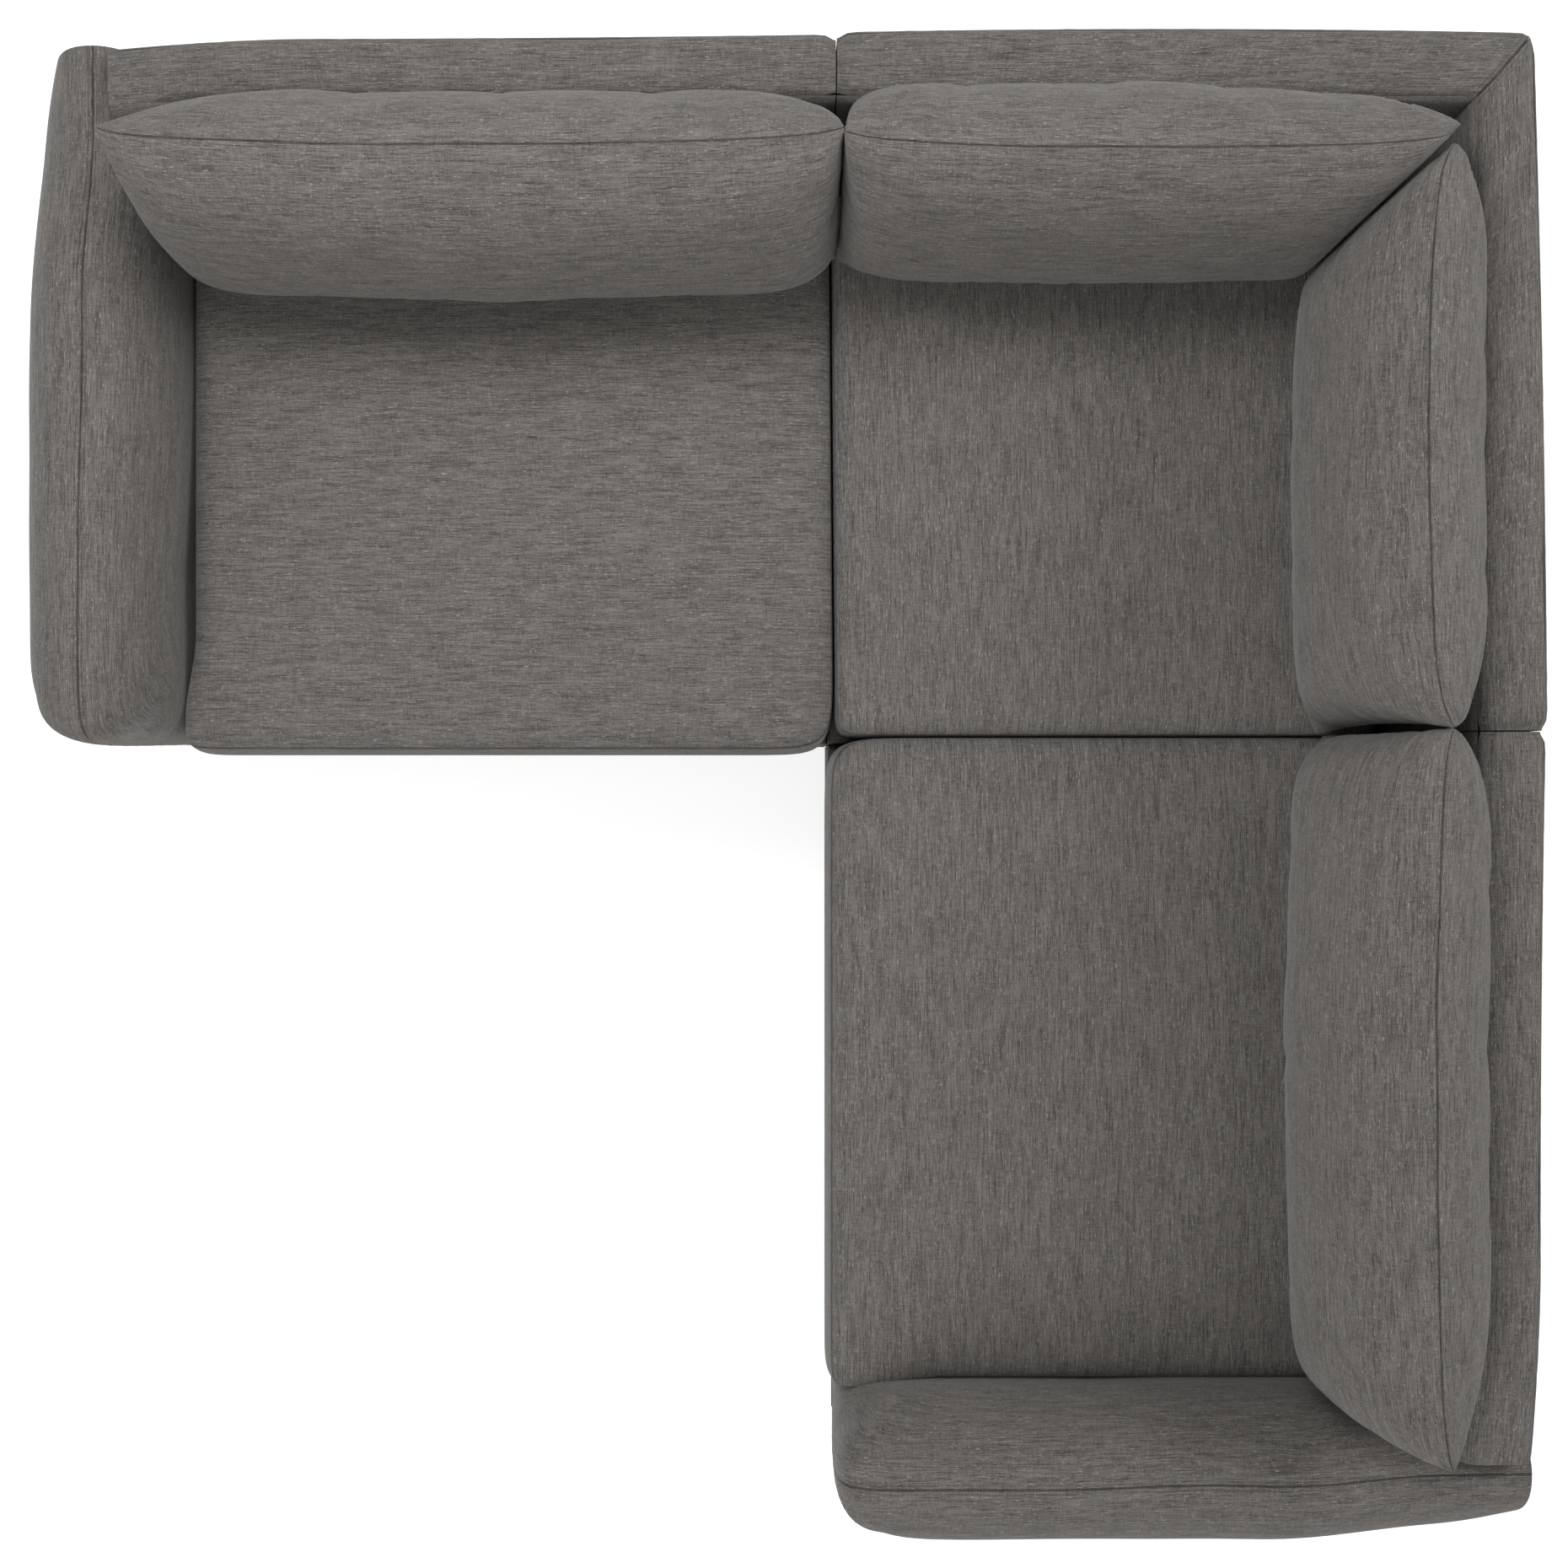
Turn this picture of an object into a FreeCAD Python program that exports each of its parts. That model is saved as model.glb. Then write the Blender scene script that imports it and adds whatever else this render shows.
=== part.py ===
import FreeCAD, Part

import math
import os

# Sectional sofa in three units that stand in an L: a left arm unit, a corner unit and a
# right arm unit. Millimetres. X to the right, Y to the rear of the left unit, Z up. The
# origin is on the floor at the centre of the sofa's square footprint. The right unit is the
# left unit mirrored in the plane X = Y, and the corner unit is its own mirror image there.

# Plan of the sofa
side_length = 2080.0  # along each leg of the L
unit_depth = 940.0  # base front to the outer face of the back
unit_gap = 2.0  # between the faces of neighbouring units
arm_thickness = 214.0
arm_front_reach = 4.5  # arm pillow past the front of the base
back_thickness = 135.0  # at the seat and below
back_lean = 41.0  # how far the back's inner face leans away at its top

# Heights and layers, from the floor up
foot_height = 45.0
dust_cover_thickness = 0.8
rail_height = 200.0
strap_thickness = 2.0
deck_pad_thickness = 33.6
seat_cushion_height = 169.0  # where the back cushion rests on it
arm_top = 635.0
back_top = 700.0
back_cushion_height = 384.0

# Clearances
fit_clear = 0.3  # between pieces of one unit
lift_clear = 0.4  # under a cushion that lifts off
side_clear = 1.0  # beside a cushion that lifts off

# Timber
board = 25.0
block_leg = 85.0
block_height = 40.0

# Padding over the timber
front_pad = 15.0
joint_pad = 4.0
back_pad = 15.0
arm_inner_pad = 38.0
arm_outer_pad = 48.0
arm_end_pad = 52.0
arm_top_pad = 115.0
back_outer_pad = 18.0
back_top_pad = 75.0
back_end_pad = 12.0

# Elastic seat straps
strap_width = 60.0
strap_pitch = 118.0
strap_ramp = 12.0

# Feet and their bolts
foot_top_side = 58.0
foot_floor_side = 48.0
foot_wall_below_bolt = 12.0
foot_in_from_joint = 72.0
foot_in_from_front = 78.0
foot_in_from_rear = 70.0
bolt_across = 8.0  # plain six-sided core in place of the thread
bolt_clear = 0.3
bolt_in_board = 20.0

# Connectors between the units
plate_thickness = 3.0
plate_width = 50.0
tongue_reach = 42.0
tongue_drop = 3.4
socket_wall = 2.0
socket_length = 36.0
socket_ear = 18.0
socket_clear = 0.5
connector_in_from_front = 210.0
connector_in_from_rear = 250.0
screw_across = 4.4  # plain six-sided core in place of the thread
screw_head_across = 9.0
screw_head_height = 2.8
screw_length = 18.0
screw_clear = 0.2
screw_from_plate_edge = 12.0

# Seat cushions
seat_front_reach = 17.0  # past the front of the base
seat_corner_round = 46.0
inner_corner_round = 20.0
seat_edge_drop = 30.0
seat_edge_run = 60.0
seat_crown = 17.0
seat_border_bulge = 11.0
seat_border_set = 12.0
core_side_wrap = 48.0
core_bottom_wrap = 12.0
core_top_wrap = 34.0
core_clear = 0.5

# Loose back cushions
cushion_fattest_level = 0.36  # share of the cushion's height where it is thickest
cushion_foot_slimming = 0.16
cushion_thickness = 240.0
cushion_edge = 8.0  # across the seam at the side and top edges
cushion_side_draw = 11.0
cushion_shoulder = 160.0
cushion_over_arm = 17.0
cushion_foot_tuck = 13.0
cushion_bow = 12.0
cushion_bow_proud = 3.0
corner_tip_set = 17.0  # the two corner cushions' tips short of the seat's rear
corner_contact_shift = 15.0
fill_share = 0.55  # of the cushion's thickness at each height
fill_levels = (0.1, 0.3, 0.5, 0.7, 0.84)

# Upholstery forms
arm_seam_share = 0.533  # seam from the outer side, as a share of the arm's thickness
arm_front_round = 50.0
arm_rear_round = 26.0
arm_shoulder_drop = 105.0
arm_front_top_drop = 42.0
arm_rear_top_drop = 14.0
arm_side_bulge = 6.0
back_edge_round = 24.0
back_top_crown = 4.0
back_side_bulge = 4.0
back_dip_at_arm = 45.0
back_dip_run = 130.0
back_end_draw = 5.0
outer_corner_round = 24.0
deck_lip_round = 10.0

# Worked out from the sizes above
half = side_length / 2.0
joint_line = half - unit_depth
left_joint_face = joint_line - unit_gap / 2.0
corner_joint_face = joint_line + unit_gap / 2.0
arm_inner = -half + arm_thickness
seat_back_face = half - back_thickness
frame_bottom = foot_height
rail_top = frame_bottom + rail_height
deck_bottom = rail_top + 2.0 * strap_thickness + 2.0 * fit_clear
deck_top = deck_bottom + deck_pad_thickness
seat_bottom = deck_top + lift_clear
seat_flat_top = seat_bottom + seat_cushion_height
cushion_bottom = seat_flat_top + lift_clear
cushion_top = cushion_bottom + back_cushion_height
tongue_top = frame_bottom - tongue_drop
back_lean_angle = math.atan(back_lean / (back_top - back_edge_round - deck_top))


def v(x, y, z):
    return FreeCAD.Vector(x, y, z)


def box(x0, x1, y0, y1, z0, z1):
    return Part.makeBox(x1 - x0, y1 - y0, z1 - z0, v(x0, y0, z0))


def six_sided(x, y, z0, z1, across):
    """An upright six-sided bar, by its size across flats, turned to be its own mirror image."""
    r = across / math.sqrt(3.0)
    turns = [math.pi / 3.0 * i + math.pi / 12.0 for i in range(6)]
    return prism([v(x + r * math.cos(t), y + r * math.sin(t), z0) for t in turns],
                 v(0, 0, z1 - z0))


def prism(points, along):
    return Part.Face(Part.makePolygon(points + [points[0]])).extrude(along)


def bowed_side(a, b, bow, outward):
    """A line from a to b, or an arc that stands out from that line by bow."""
    if abs(bow) < 1e-6:
        return Part.makeLine(a, b)
    middle = (a + b) * 0.5 + outward * bow
    return Part.Arc(a, middle, b).toShape()


def bowed_wire(corners, bows, normal):
    """A closed outline through the corners, each side with its own bow away from the middle."""
    centre = v(0, 0, 0)
    for corner in corners:
        centre = centre + corner
    centre = centre * (1.0 / len(corners))
    sides = []
    for i, a in enumerate(corners):
        b = corners[(i + 1) % len(corners)]
        outward = (b - a).cross(normal)
        outward.normalize()
        if outward.dot((a + b) * 0.5 - centre) < 0:
            outward = outward * -1.0
        sides.append(bowed_side(a, b, bows[i], outward))
    return Part.Wire(sides)


def loft(wires):
    """A closed solid through the outlines, with straight lines from each to the next."""
    return Part.makeLoft(wires, True, True)


def ease(distance, run):
    """Rises from 0 at an end to 1 at a run's distance from it, as a quarter circle does."""
    if distance >= run:
        return 1.0
    t = 1.0 - distance / run
    return math.sqrt(1.0 - t * t)


def end_stations(start, end, runs):
    """Places along a form: close together where its ends are rounded, then one in the middle."""
    steps = [0.0, 0.05, 0.17, 0.42, 1.0]
    near = [start + s * runs[0] for s in steps]
    far = [end - s * runs[1] for s in reversed(steps)]
    middle = [start + (end - start) * share for share in (0.22, 0.5, 0.78)]
    return near + middle + far


def mirrored(shape):
    """The same shape with X and Y exchanged."""
    return shape.mirror(v(0, 0, 0), v(1, -1, 0))


# Timber frame of a unit's base


def base_rails(x0, x1, y0, y1):
    """Front, rear, two side rails and a middle rail, butted together."""
    rails = [
        box(x0, x1, y0, y0 + board, frame_bottom, rail_top),
        box(x0, x1, y1 - board, y1, frame_bottom, rail_top),
        box(x0, x0 + board, y0 + board, y1 - board, frame_bottom, rail_top),
        box(x1 - board, x1, y0 + board, y1 - board, frame_bottom, rail_top),
    ]
    middle = (x0 + x1) / 2.0
    low_top = rail_top - strap_width / 2.0
    rails.append(box(middle - board / 2.0, middle + board / 2.0, y0 + board, y1 - board,
                     frame_bottom, low_top))
    return rails


def corner_block(x, y, to_x, to_y):
    """A triangular block in a corner of the rails, with its square corner at x, y."""
    points = [
        v(x, y, frame_bottom),
        v(x + to_x * block_leg, y, frame_bottom),
        v(x, y + to_y * block_leg, frame_bottom),
    ]
    return prism(points, v(0, 0, block_height))


def corner_blocks(x0, x1, y0, y1):
    inner = (x0 + board, x1 - board, y0 + board, y1 - board)
    return [
        corner_block(inner[0], inner[2], 1, 1),
        corner_block(inner[1], inner[2], -1, 1),
        corner_block(inner[0], inner[3], 1, -1),
        corner_block(inner[1], inner[3], -1, -1),
    ]


# Interwoven elastic straps


def strap_profile(start, end, crossings, over):
    """Places along a strap and its height there: up over one crossing strap, under the next."""
    low = rail_top
    high = rail_top + strap_thickness + fit_clear
    reach = strap_width / 2.0 + strap_ramp / 3.0
    path = [(start, low)]
    for place, is_over in zip(crossings, over):
        if is_over:
            path += [(place - reach - strap_ramp, low), (place - reach, high),
                     (place + reach, high), (place + reach + strap_ramp, low)]
    path.append((end, low))
    return path


def strap(path, across, along_x):
    lower = [(s, z) for s, z in path]
    upper = [(s, z + strap_thickness) for s, z in reversed(path)]
    if along_x:
        points = [v(s, across - strap_width / 2.0, z) for s, z in lower + upper]
        return prism(points, v(0, strap_width, 0))
    points = [v(across - strap_width / 2.0, s, z) for s, z in lower + upper]
    return prism(points, v(strap_width, 0, 0))


def strap_places(start, end):
    """Even places for straps side by side between two rails."""
    room = end - start - 2.0 * board
    count = max(2, int(room // strap_pitch))
    first = (start + end) / 2.0 - (count - 1) * strap_pitch / 2.0
    return [first + i * strap_pitch for i in range(count)]


def seat_webbing(x0, x1, y0, y1):
    """Straps both ways, each passing over and under the ones that cross it."""
    columns = strap_places(x0, x1)
    rows = strap_places(y0, y1)
    straps = []
    for j, y in enumerate(rows):
        over = [(i + j) % 2 == 0 for i in range(len(columns))]
        straps.append(strap(strap_profile(x0, x1, columns, over), y, True))
    for i, x in enumerate(columns):
        over = [(i + j) % 2 == 1 for j in range(len(rows))]
        straps.append(strap(strap_profile(y0, y1, rows, over), x, False))
    return straps


# Timber back frame


def back_inner_at(z, pad):
    """Y of the back's inner face, moved back by a pad: upright to the seat, then leaning."""
    if z <= deck_top:
        return seat_back_face + pad
    share = (z - deck_top) / (back_top - back_edge_round - deck_top)
    return seat_back_face + pad + back_lean * share


def back_frame_section(x, clear, top):
    pad = back_pad + clear
    outer = half - back_outer_pad - clear
    return [
        v(x, back_inner_at(frame_bottom, pad), frame_bottom),
        v(x, back_inner_at(deck_top, pad), deck_top),
        v(x, back_inner_at(top, pad), top),
        v(x, outer, top),
        v(x, outer, frame_bottom),
    ]


def back_frame(x0, x1):
    """Shaped posts between a bottom board and a top board, with rails at seat height."""
    pad = back_pad + fit_clear
    outer = half - back_outer_pad - fit_clear
    top = back_top - back_top_pad
    post_base = frame_bottom + board
    post_top = top - board
    parts = [
        box(x0, x1, back_inner_at(frame_bottom, pad), outer, frame_bottom, post_base),
        box(x0, x1, back_inner_at(top, pad), outer, post_top, top),
    ]
    starts = [x0, (x0 + x1 - board) / 2.0, x1 - board]
    for x in starts:
        points = [
            v(x, back_inner_at(post_base, pad), post_base),
            v(x, back_inner_at(deck_top, pad), deck_top),
            v(x, back_inner_at(post_top, pad), post_top),
            v(x, outer, post_top),
            v(x, outer, post_base),
        ]
        parts.append(prism(points, v(board, 0, 0)))
    rail_y = back_inner_at(deck_top + block_leg, pad)
    for a, b in zip(starts[:-1], starts[1:]):
        parts.append(box(a + board, b, rail_y, rail_y + board, deck_top, deck_top + block_leg))
    return parts


# Timber arm frame


def arm_room(clear):
    """X, Y and Z limits of the space for the timber inside the arm."""
    return (
        -half + arm_outer_pad + clear,
        arm_inner - arm_inner_pad - clear,
        joint_line - arm_front_reach + arm_end_pad + clear,
        half - arm_end_pad - clear,
        frame_bottom,
        arm_top - arm_top_pad - clear,
    )


def arm_frame():
    """A bottom board, three uprights and a top board."""
    x0, x1, y0, y1, z0, z1 = arm_room(fit_clear)
    parts = [
        box(x0, x1, y0, y1, z0, z0 + board),
        box(x0, x1, y0, y1, z1 - board, z1),
    ]
    for y in (y0, (y0 + y1 - board) / 2.0, y1 - board):
        parts.append(box(x0, x1, y, y + board, z0 + board, z1 - board))
    return parts


# Upholstery


def arm_section(y, y0, y1):
    """The arm pillow's outline across its length, with its seam at the top."""
    front = y - y0
    rear = y1 - y
    grow = 0.62 + 0.38 * min(ease(front, arm_front_round), 1.0)
    grow_rear = 0.88 + 0.12 * ease(rear, arm_rear_round)
    drop = arm_front_top_drop * (1.0 - ease(front, 2.0 * arm_front_round))
    drop_rear = arm_rear_top_drop * (1.0 - ease(rear, 3.0 * arm_rear_round))
    seam_x = -half + arm_thickness * arm_seam_share
    outer = seam_x - (seam_x + half) * grow * grow_rear
    inner_front = 0.84 + 0.16 * ease(front, arm_front_round)
    inner = seam_x + (arm_inner - seam_x) * inner_front
    top = arm_top - drop - drop_rear
    shoulder = top - arm_shoulder_drop
    corners = [
        v(outer + arm_side_bulge, y, frame_bottom),
        v(outer + arm_side_bulge, y, shoulder),
        v(seam_x, y, top),
        v(inner, y, shoulder - arm_side_bulge),
        v(inner, y, frame_bottom),
    ]
    bows = (arm_side_bulge, 25.0 * grow, 22.0 * inner_front, 0.0, 0.0)
    return bowed_wire(corners, bows, v(0, 1, 0))


def arm_upholstery():
    y0 = joint_line - arm_front_reach
    y1 = half
    stations = end_stations(y0, y1, (arm_front_round, arm_rear_round))
    form = loft([arm_section(y, y0, y1) for y in stations])
    x0, x1, r0, r1, z0, z1 = arm_room(0.0)
    return form.cut(box(x0, x1, r0, r1, z0 - board, z1))


def back_section(x, dip, draw):
    """The back's outline: upright outside, rounded top, leaning inner face."""
    top = back_top - dip - draw
    outer = half - draw
    edge = back_edge_round
    inner_top = back_inner_at(back_top - edge, 0.0) + draw
    corners = [
        v(x, seat_back_face, frame_bottom),
        v(x, outer - back_side_bulge, frame_bottom),
        v(x, outer - back_side_bulge, top - edge),
        v(x, outer - edge, top - back_top_crown),
        v(x, inner_top + edge * 0.6, top - back_top_crown),
        v(x, inner_top, top - edge),
        v(x, seat_back_face, deck_top),
    ]
    bows = (0.0, back_side_bulge, edge * 0.2, back_top_crown, edge * 0.16, 0.0, 0.0)
    return bowed_wire(corners, bows, v(1, 0, 0))


def back_upholstery(x0, x1, dip_at_start):
    """The padded back, hollow for its frame, with a lower end where it meets an arm."""
    stations = [x0, x0 + back_dip_run * 0.35, x0 + back_dip_run, (x0 + x1) / 2.0,
                x1 - back_edge_round, x1]
    wires = []
    for x in stations:
        share = max(0.0, 1.0 - (x - x0) / back_dip_run)
        draw = back_end_draw * (1.0 - ease(x1 - x, back_edge_round))
        if not dip_at_start:
            draw += back_end_draw * (1.0 - ease(x - x0, back_edge_round))
        dip = back_dip_at_arm * share * share if dip_at_start else 0.0
        wires.append(back_section(x, dip, draw))
    form = loft(wires)
    top = back_top - back_top_pad
    start = x0 + back_end_pad
    room = prism(back_frame_section(start, 0.0, top), v(x1 - back_end_pad - start, 0, 0))
    return form.cut(room)


def deck_pad(x0, x1, y0, y1):
    """A foam layer over the straps and rails, with a rounded lip at the front."""
    pad = box(x0, x1, y0, y1, deck_bottom, deck_top)
    lip = [e for e in pad.Edges
           if abs(e.CenterOfMass.z - deck_top) < 1e-6 and abs(e.CenterOfMass.y - y0) < 1e-6]
    return pad.makeFillet(deck_lip_round, lip)


# Feet and connectors


def frustum(x, y, lower_side, upper_side, z0, z1):
    """An upright square block that widens upwards."""
    def square(side, z):
        h = side / 2.0
        return [v(x - h, y - h, z), v(x + h, y - h, z), v(x + h, y + h, z), v(x - h, y + h, z)]
    low = square(lower_side, z0)
    high = square(upper_side, z1)
    outlines = [low, high]
    for i in range(4):
        j = (i + 1) % 4
        outlines.append([low[i], low[j], high[j], high[i]])
    faces = [Part.Face(Part.makePolygon(points + [points[0]])) for points in outlines]
    solid = Part.makeSolid(Part.makeShell(faces))
    if solid.Volume < 0:
        solid.reverse()
    return solid


def foot(x, y):
    """A square block that tapers to the floor, bored from above for its bolt."""
    block = frustum(x, y, foot_floor_side, foot_top_side, 0.0, foot_height)
    return block.cut(foot_bore(x, y, foot_wall_below_bolt))


def foot_bore(x, y, z0):
    return six_sided(x, y, z0, frame_bottom + bolt_in_board + bolt_clear,
                     bolt_across + 2.0 * bolt_clear)


def foot_bolt(x, y):
    return six_sided(x, y, foot_wall_below_bolt + bolt_clear,
                     frame_bottom + bolt_in_board, bolt_across)


def bored(shapes, places):
    """The same solids with a bolt hole from below at each foot."""
    result = []
    for shape in shapes:
        for x, y in places:
            bore = foot_bore(x, y, 0.0)
            if shape.BoundBox.intersect(bore.BoundBox):
                shape = shape.cut(bore)
        result.append(shape)
    return result


def screw_up(x, y, head_top):
    """A hexagon-headed screw that points up, its head below head_top."""
    head = six_sided(x, y, head_top - screw_head_height, head_top, screw_head_across)
    shank = six_sided(x, y, head_top, head_top + screw_length, screw_across)
    return head.fuse(shank).removeSplitter()


def screw_hole(x, y, head_top):
    return six_sided(x, y, head_top, head_top + screw_length + screw_clear,
                     screw_across + 2.0 * screw_clear)


def tongue_screw_places(y):
    x = corner_joint_face + joint_pad + fit_clear + board / 2.0
    offset = plate_width / 2.0 - screw_from_plate_edge
    return [(x, y - offset), (x, y + offset)]


def tongue_plate(y):
    """A stepped steel plate under the corner unit that reaches into the next unit's socket."""
    root = corner_joint_face + joint_pad + 2.0 * board
    step = corner_joint_face + joint_pad
    tip = left_joint_face - tongue_reach
    t = plate_thickness
    side = y - plate_width / 2.0
    points = [
        v(root, side, frame_bottom),
        v(root, side, frame_bottom - t),
        v(step, side, frame_bottom - t),
        v(step - tongue_drop, side, tongue_top - t),
        v(tip, side, tongue_top - t),
        v(tip, side, tongue_top),
        v(step - tongue_drop, side, tongue_top),
        v(step, side, frame_bottom),
    ]
    plate = prism(points, v(0, plate_width, 0))
    for x, sy in tongue_screw_places(y):
        plate = plate.cut(screw_hole(x, sy, frame_bottom - t))
    return plate


def tongue_room(y):
    """The cut-out that a tongue plate needs in the dust cover."""
    x1 = corner_joint_face + joint_pad + 2.0 * board + fit_clear
    reach = plate_width / 2.0 + fit_clear
    return box(corner_joint_face - board, x1, y - reach, y + reach, 0.0, frame_bottom)


def socket_screw_places(y):
    x = left_joint_face - joint_pad - fit_clear - board / 2.0
    offset = plate_width / 2.0 + socket_clear + socket_wall + socket_ear / 2.0
    return [(x, y - offset), (x, y + offset)]


def socket_bracket(y):
    """A steel sleeve with two ears under the arm unit, which the tongue slides into."""
    x1 = left_joint_face - joint_pad / 2.0
    x0 = x1 - socket_length
    inner = plate_width / 2.0 + socket_clear
    outer = inner + socket_wall
    z_low = tongue_top - plate_thickness - socket_clear
    body = box(x0, x1, y - outer, y + outer, z_low - socket_wall, frame_bottom)
    ears = box(x0, x1, y - outer - socket_ear, y + outer + socket_ear,
               frame_bottom - socket_wall, frame_bottom)
    slot = box(x0 - board, x1 + board, y - inner, y + inner, z_low, tongue_top + socket_clear)
    bracket = body.fuse(ears).removeSplitter().cut(slot)
    for x, sy in socket_screw_places(y):
        bracket = bracket.cut(screw_hole(x, sy, frame_bottom - socket_wall))
    return bracket


def socket_room(y):
    """The cut-out that a socket bracket needs in the dust cover."""
    x0 = left_joint_face - joint_pad / 2.0 - socket_length - fit_clear
    reach = plate_width / 2.0 + socket_clear + socket_wall + socket_ear + fit_clear
    return box(x0, left_joint_face + board, y - reach, y + reach, 0.0, frame_bottom)


def connector_places():
    return [joint_line + connector_in_from_front, half - connector_in_from_rear]


def with_screw_holes(shapes, places, head_top):
    result = []
    for shape in shapes:
        for x, y in places:
            hole = screw_hole(x, y, head_top)
            if shape.BoundBox.intersect(hole.BoundBox):
                shape = shape.cut(hole)
        result.append(shape)
    return result


def dust_cover(x0, x1, y0, y1, feet, rooms):
    """Thin cloth stapled under the frame, cut out round the feet and the connectors."""
    cover = box(x0, x1, y0, y1, frame_bottom - dust_cover_thickness, frame_bottom)
    h = foot_top_side / 2.0 + fit_clear
    for x, y in feet:
        cover = cover.cut(box(x - h, x + h, y - h, y + h, 0.0, frame_bottom))
    for room in rooms:
        cover = cover.cut(room)
    return cover


# Seat cushions


def seat_section(x, front, rear, flat_from, drop, crown):
    """Outline across a seat cushion: flat below and where the back cushion rests."""
    seam_top = seat_flat_top - drop - seat_border_set
    corners = [
        v(x, front + seat_border_bulge, seat_bottom),
        v(x, rear, seat_bottom),
        v(x, rear, seat_flat_top - drop),
        v(x, flat_from, seat_flat_top - drop),
        v(x, front + seat_border_bulge, seam_top),
    ]
    bows = (0.0, 0.0, 0.0, crown, seat_border_bulge)
    return bowed_wire(corners, bows, v(1, 0, 0))


def seat_crown_at(x, x0, x1):
    """Height of the crown at a place across the cushion, on a flattened arc."""
    u = (x - x0) / (x1 - x0)
    return seat_crown * (4.0 * u * (1.0 - u)) ** 0.5


def seat_cushion_form(x0, x1, y0, y1, crown_end, start_round, end_round):
    """A crowned cushion whose front corners are rounded and whose ends draw in.

    Its top is flat where a back cushion rests on it: behind the back cushions' front, and
    past crown_end where another one stands on its right.
    """
    flat_from = back_cushion_foot_front()
    places = end_stations(x0, x1, (seat_edge_run, seat_edge_run))
    if crown_end < x1:
        places = sorted(places + [crown_end])
    wires = []
    for x in places:
        near = x - x0
        far = x1 - x
        step_back = start_round * (1.0 - ease(near, start_round))
        step_back += end_round * (1.0 - ease(far, end_round))
        drop = seat_edge_drop * (1.0 - ease(near, seat_edge_run))
        drop += seat_edge_drop * (1.0 - ease(far, seat_edge_run))
        crown = seat_crown_at(x, x0, crown_end) if x < crown_end else 0.0
        crown = min(crown, seat_crown)
        wires.append(seat_section(x, y0 + step_back * 0.9, y1, flat_from, drop * 0.8, crown))
    return loft(wires)


def seat_core_box(x0, x1, y0, y1, clear):
    return box(x0 + core_side_wrap - clear, x1 - core_side_wrap + clear,
               y0 + core_side_wrap + seat_border_bulge - clear,
               y1 - core_bottom_wrap + clear,
               seat_bottom + core_bottom_wrap - clear,
               seat_flat_top - core_top_wrap + clear)


# Loose back cushions


def cushion_fatness(level):
    """Share of the full thickness at a level: a little slimmer at the foot, none at the top."""
    if level < cushion_fattest_level:
        t = 1.0 - level / cushion_fattest_level
        return 1.0 - cushion_foot_slimming * t * t
    t = (level - cushion_fattest_level) / (1.0 - cushion_fattest_level)
    return max((1.0 - t * t) ** 0.8, cushion_edge / cushion_thickness)


def cushion_axis():
    """Y of the middle plane at the cushion's foot, where its thickest place meets the back."""
    rise = cushion_fattest_level * back_cushion_height
    rear = back_inner_at(cushion_bottom + rise, 0.0) - side_clear
    return rear - rise * math.tan(back_lean_angle) - cushion_depth(cushion_fattest_level)


def cushion_depth(level):
    """From the middle plane to either face, level with the floor."""
    return cushion_fatness(level) * cushion_thickness / 2.0 / math.cos(back_lean_angle)


def back_cushion_foot_front():
    """Y just in front of where a back cushion rests on its seat cushion."""
    return cushion_axis() - cushion_depth(0.0) - side_clear


def leaned(shape):
    """The same shape leaning back with the back's inner face, about the foot's middle line."""
    return shape.rotated(v(0, cushion_axis(), cushion_bottom), v(1, 0, 0),
                         -math.degrees(back_lean_angle))


def cushion_profile(x):
    """The upright cushion seen from its side: fat in the middle with a thin top edge."""
    def at(level, side):
        half_depth = cushion_fatness(level) * cushion_thickness / 2.0
        height = level * back_cushion_height / math.cos(back_lean_angle)
        return v(x, cushion_axis() + side * half_depth, cushion_bottom + height)
    fattest = cushion_fattest_level
    upper = (1.0 + fattest) / 2.0
    below = v(0, 0, -board)
    above = v(0, 0, board)
    sides = [
        Part.makeLine(at(0.0, 1) + below, at(0.0, -1) + below),
        Part.makeLine(at(0.0, -1) + below, at(0.0, -1)),
        Part.Arc(at(0.0, -1), at(fattest / 2.0, -1), at(fattest, -1)).toShape(),
        Part.Arc(at(fattest, -1), at(upper, -1), at(1.0, -1)).toShape(),
        Part.makeLine(at(1.0, -1), at(1.0, -1) + above),
        Part.makeLine(at(1.0, -1) + above, at(1.0, 1) + above),
        Part.makeLine(at(1.0, 1) + above, at(1.0, 1)),
        Part.Arc(at(1.0, 1), at(upper, 1), at(fattest, 1)).toShape(),
        Part.Arc(at(fattest, 1), at(fattest / 2.0, 1), at(0.0, 1)).toShape(),
        Part.makeLine(at(0.0, 1), at(0.0, 1) + below),
    ]
    return Part.Wire(sides)


def tangent_arc(shoulder, tip, slope):
    """An arc that leaves the shoulder along a slope in plan and ends at the tip."""
    chord = tip - shoulder
    along = v(math.cos(slope), math.sin(slope), 0)
    if along.dot(chord) < 0:
        along = along * -1.0
    angle = along.getAngle(chord)
    sagitta = chord.Length / 2.0 * math.tan(angle / 2.0)
    side = v(-chord.y, chord.x, 0)
    side.normalize()
    if side.dot(along) < 0:
        side = side * -1.0
    return Part.Arc(shoulder, (shoulder + tip) * 0.5 + side * sagitta, tip).toShape()


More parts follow.
